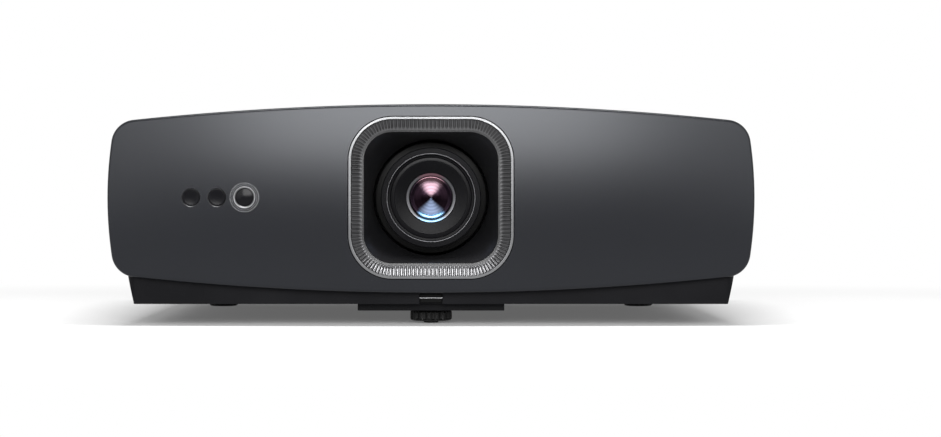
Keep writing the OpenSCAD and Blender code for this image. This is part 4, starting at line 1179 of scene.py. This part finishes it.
def build_stage():
    bpy.context.scene.view_settings.view_transform = "Standard"
    made = bmesh.new()
    rows = [[made.verts.new((x, y, 0.0)) for x in FLOOR_X] for y in FLOOR_Y]
    for a, b in zip(rows, rows[1:]):
        for i in range(len(a) - 1):
            made.faces.new((a[i], a[i + 1], b[i + 1], b[i]))
    surround("floor", made, white_floor())
    plain_world()
    for card in CARDS:
        dark_card(*card)
    for light in LIGHTS:
        soft_light(*light)
    camera = bpy.data.cameras.new("camera")
    camera.sensor_width = 36.0
    camera.lens = CAMERA_LENS
    camera.shift_x, camera.shift_y = CAMERA_SHIFT
    camera.clip_start = 0.01
    holder = bpy.data.objects.new("camera", camera)
    holder.location = (0.0, FRONT_Y - CAMERA_DISTANCE, AXIS_Z)
    holder.rotation_euler = (math.radians(90), 0.0, 0.0)
    bpy.context.scene.collection.objects.link(holder)
    bpy.context.scene.camera = holder


# ---- Operators, panel and registration ----

class PROJECTOR_OT_fascia(bpy.types.Operator):
    """Build the bowed front shell"""
    bl_idname = "projector.fascia"
    bl_label = "Front Shell"

    def execute(self, context):
        build_fascia()
        return {"FINISHED"}


class PROJECTOR_OT_recess(bpy.types.Operator):
    """Build the ribbed lens recess and its bright trim"""
    bl_idname = "projector.recess"
    bl_label = "Lens Recess"

    def execute(self, context):
        build_trim()
        build_hood()
        return {"FINISHED"}


class PROJECTOR_OT_windows(bpy.types.Operator):
    """Build the two sensor windows and the camera window"""
    bl_idname = "projector.windows"
    bl_label = "Windows"

    def execute(self, context):
        build_windows()
        return {"FINISHED"}


class PROJECTOR_OT_lens(bpy.types.Operator):
    """Build the lens tube, its rings, its cell and its glass"""
    bl_idname = "projector.lens"
    bl_label = "Lens"

    def execute(self, context):
        build_barrel()
        build_cell()
        build_rings()
        return {"FINISHED"}


class PROJECTOR_OT_shells(bpy.types.Operator):
    """Round the edges of the covers, grilles, rear panel and lower case"""
    bl_idname = "projector.shells"
    bl_label = "Covers"

    def execute(self, context):
        build_soft("cover")
        build_soft("door")
        return {"FINISHED"}


class PROJECTOR_OT_keys(bpy.types.Operator):
    """Round the keys and status lights"""
    bl_idname = "projector.keys"
    bl_label = "Keys"

    def execute(self, context):
        build_soft("keys")
        return {"FINISHED"}


class PROJECTOR_OT_sockets(bpy.types.Operator):
    """Round the edges of the rear sockets"""
    bl_idname = "projector.sockets"
    bl_label = "Sockets"

    def execute(self, context):
        build_soft("sockets")
        return {"FINISHED"}


class PROJECTOR_OT_feet(bpy.types.Operator):
    """Build the fluted screw feet and the release button"""
    bl_idname = "projector.feet"
    bl_label = "Feet"

    def execute(self, context):
        build_feet()
        build_soft("release")
        build_release_bar()
        return {"FINISHED"}


class PROJECTOR_OT_insides(bpy.types.Operator):
    """Give the boards, fans, speakers and the other inner pieces their finishes"""
    bl_idname = "projector.insides"
    bl_label = "Insides"

    def execute(self, context):
        build_insides()
        return {"FINISHED"}


class PROJECTOR_OT_stage(bpy.types.Operator):
    """Set the floor, the lights and the camera"""
    bl_idname = "projector.stage"
    bl_label = "Stage"

    def execute(self, context):
        build_stage()
        return {"FINISHED"}


OPERATORS = (PROJECTOR_OT_fascia, PROJECTOR_OT_recess, PROJECTOR_OT_windows, PROJECTOR_OT_lens,
             PROJECTOR_OT_shells, PROJECTOR_OT_keys, PROJECTOR_OT_sockets, PROJECTOR_OT_feet,
             PROJECTOR_OT_insides, PROJECTOR_OT_stage)


class PROJECTOR_PT_build(bpy.types.Panel):
    """Lists the settings and the building steps"""
    bl_label = "Projector"
    bl_idname = "PROJECTOR_PT_build"
    bl_space_type = "VIEW_3D"
    bl_region_type = "UI"
    bl_category = "Projector"

    def draw(self, context):
        for group in (shell(), hood(), colours()):
            box = self.layout.box()
            for name in group.__annotations__:
                box.prop(group, name)
        for operator in OPERATORS:
            self.layout.operator(operator.bl_idname)


CLASSES = (ShellSettings, HoodSettings, ColourSettings, *OPERATORS, PROJECTOR_PT_build)


def register():
    for cls in CLASSES:
        bpy.utils.register_class(cls)
    bpy.types.Scene.projector_shell = bpy.props.PointerProperty(type=ShellSettings)
    bpy.types.Scene.projector_hood = bpy.props.PointerProperty(type=HoodSettings)
    bpy.types.Scene.projector_colours = bpy.props.PointerProperty(type=ColourSettings)


def unregister():
    del bpy.types.Scene.projector_colours
    del bpy.types.Scene.projector_hood
    del bpy.types.Scene.projector_shell
    for cls in reversed(CLASSES):
        bpy.utils.unregister_class(cls)


def plain(bounds):
    """Bounds as plain lists of numbers."""
    if isinstance(bounds, dict):
        return {key: plain(value) for key, value in bounds.items()}
    if isinstance(bounds, (list, tuple, Vector)):
        return [plain(value) for value in bounds]
    return float(bounds)


def main():
    register()
    bpy.ops.projector.fascia()
    bpy.ops.projector.recess()
    bpy.ops.projector.windows()
    bpy.ops.projector.lens()
    bpy.ops.projector.shells()
    bpy.ops.projector.keys()
    bpy.ops.projector.sockets()
    bpy.ops.projector.feet()
    bpy.ops.projector.insides()
    bpy.ops.projector.stage()
    {"cad": plain(cad_bounds), "visual": plain(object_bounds())}


if __name__ == "__main__":
    main()
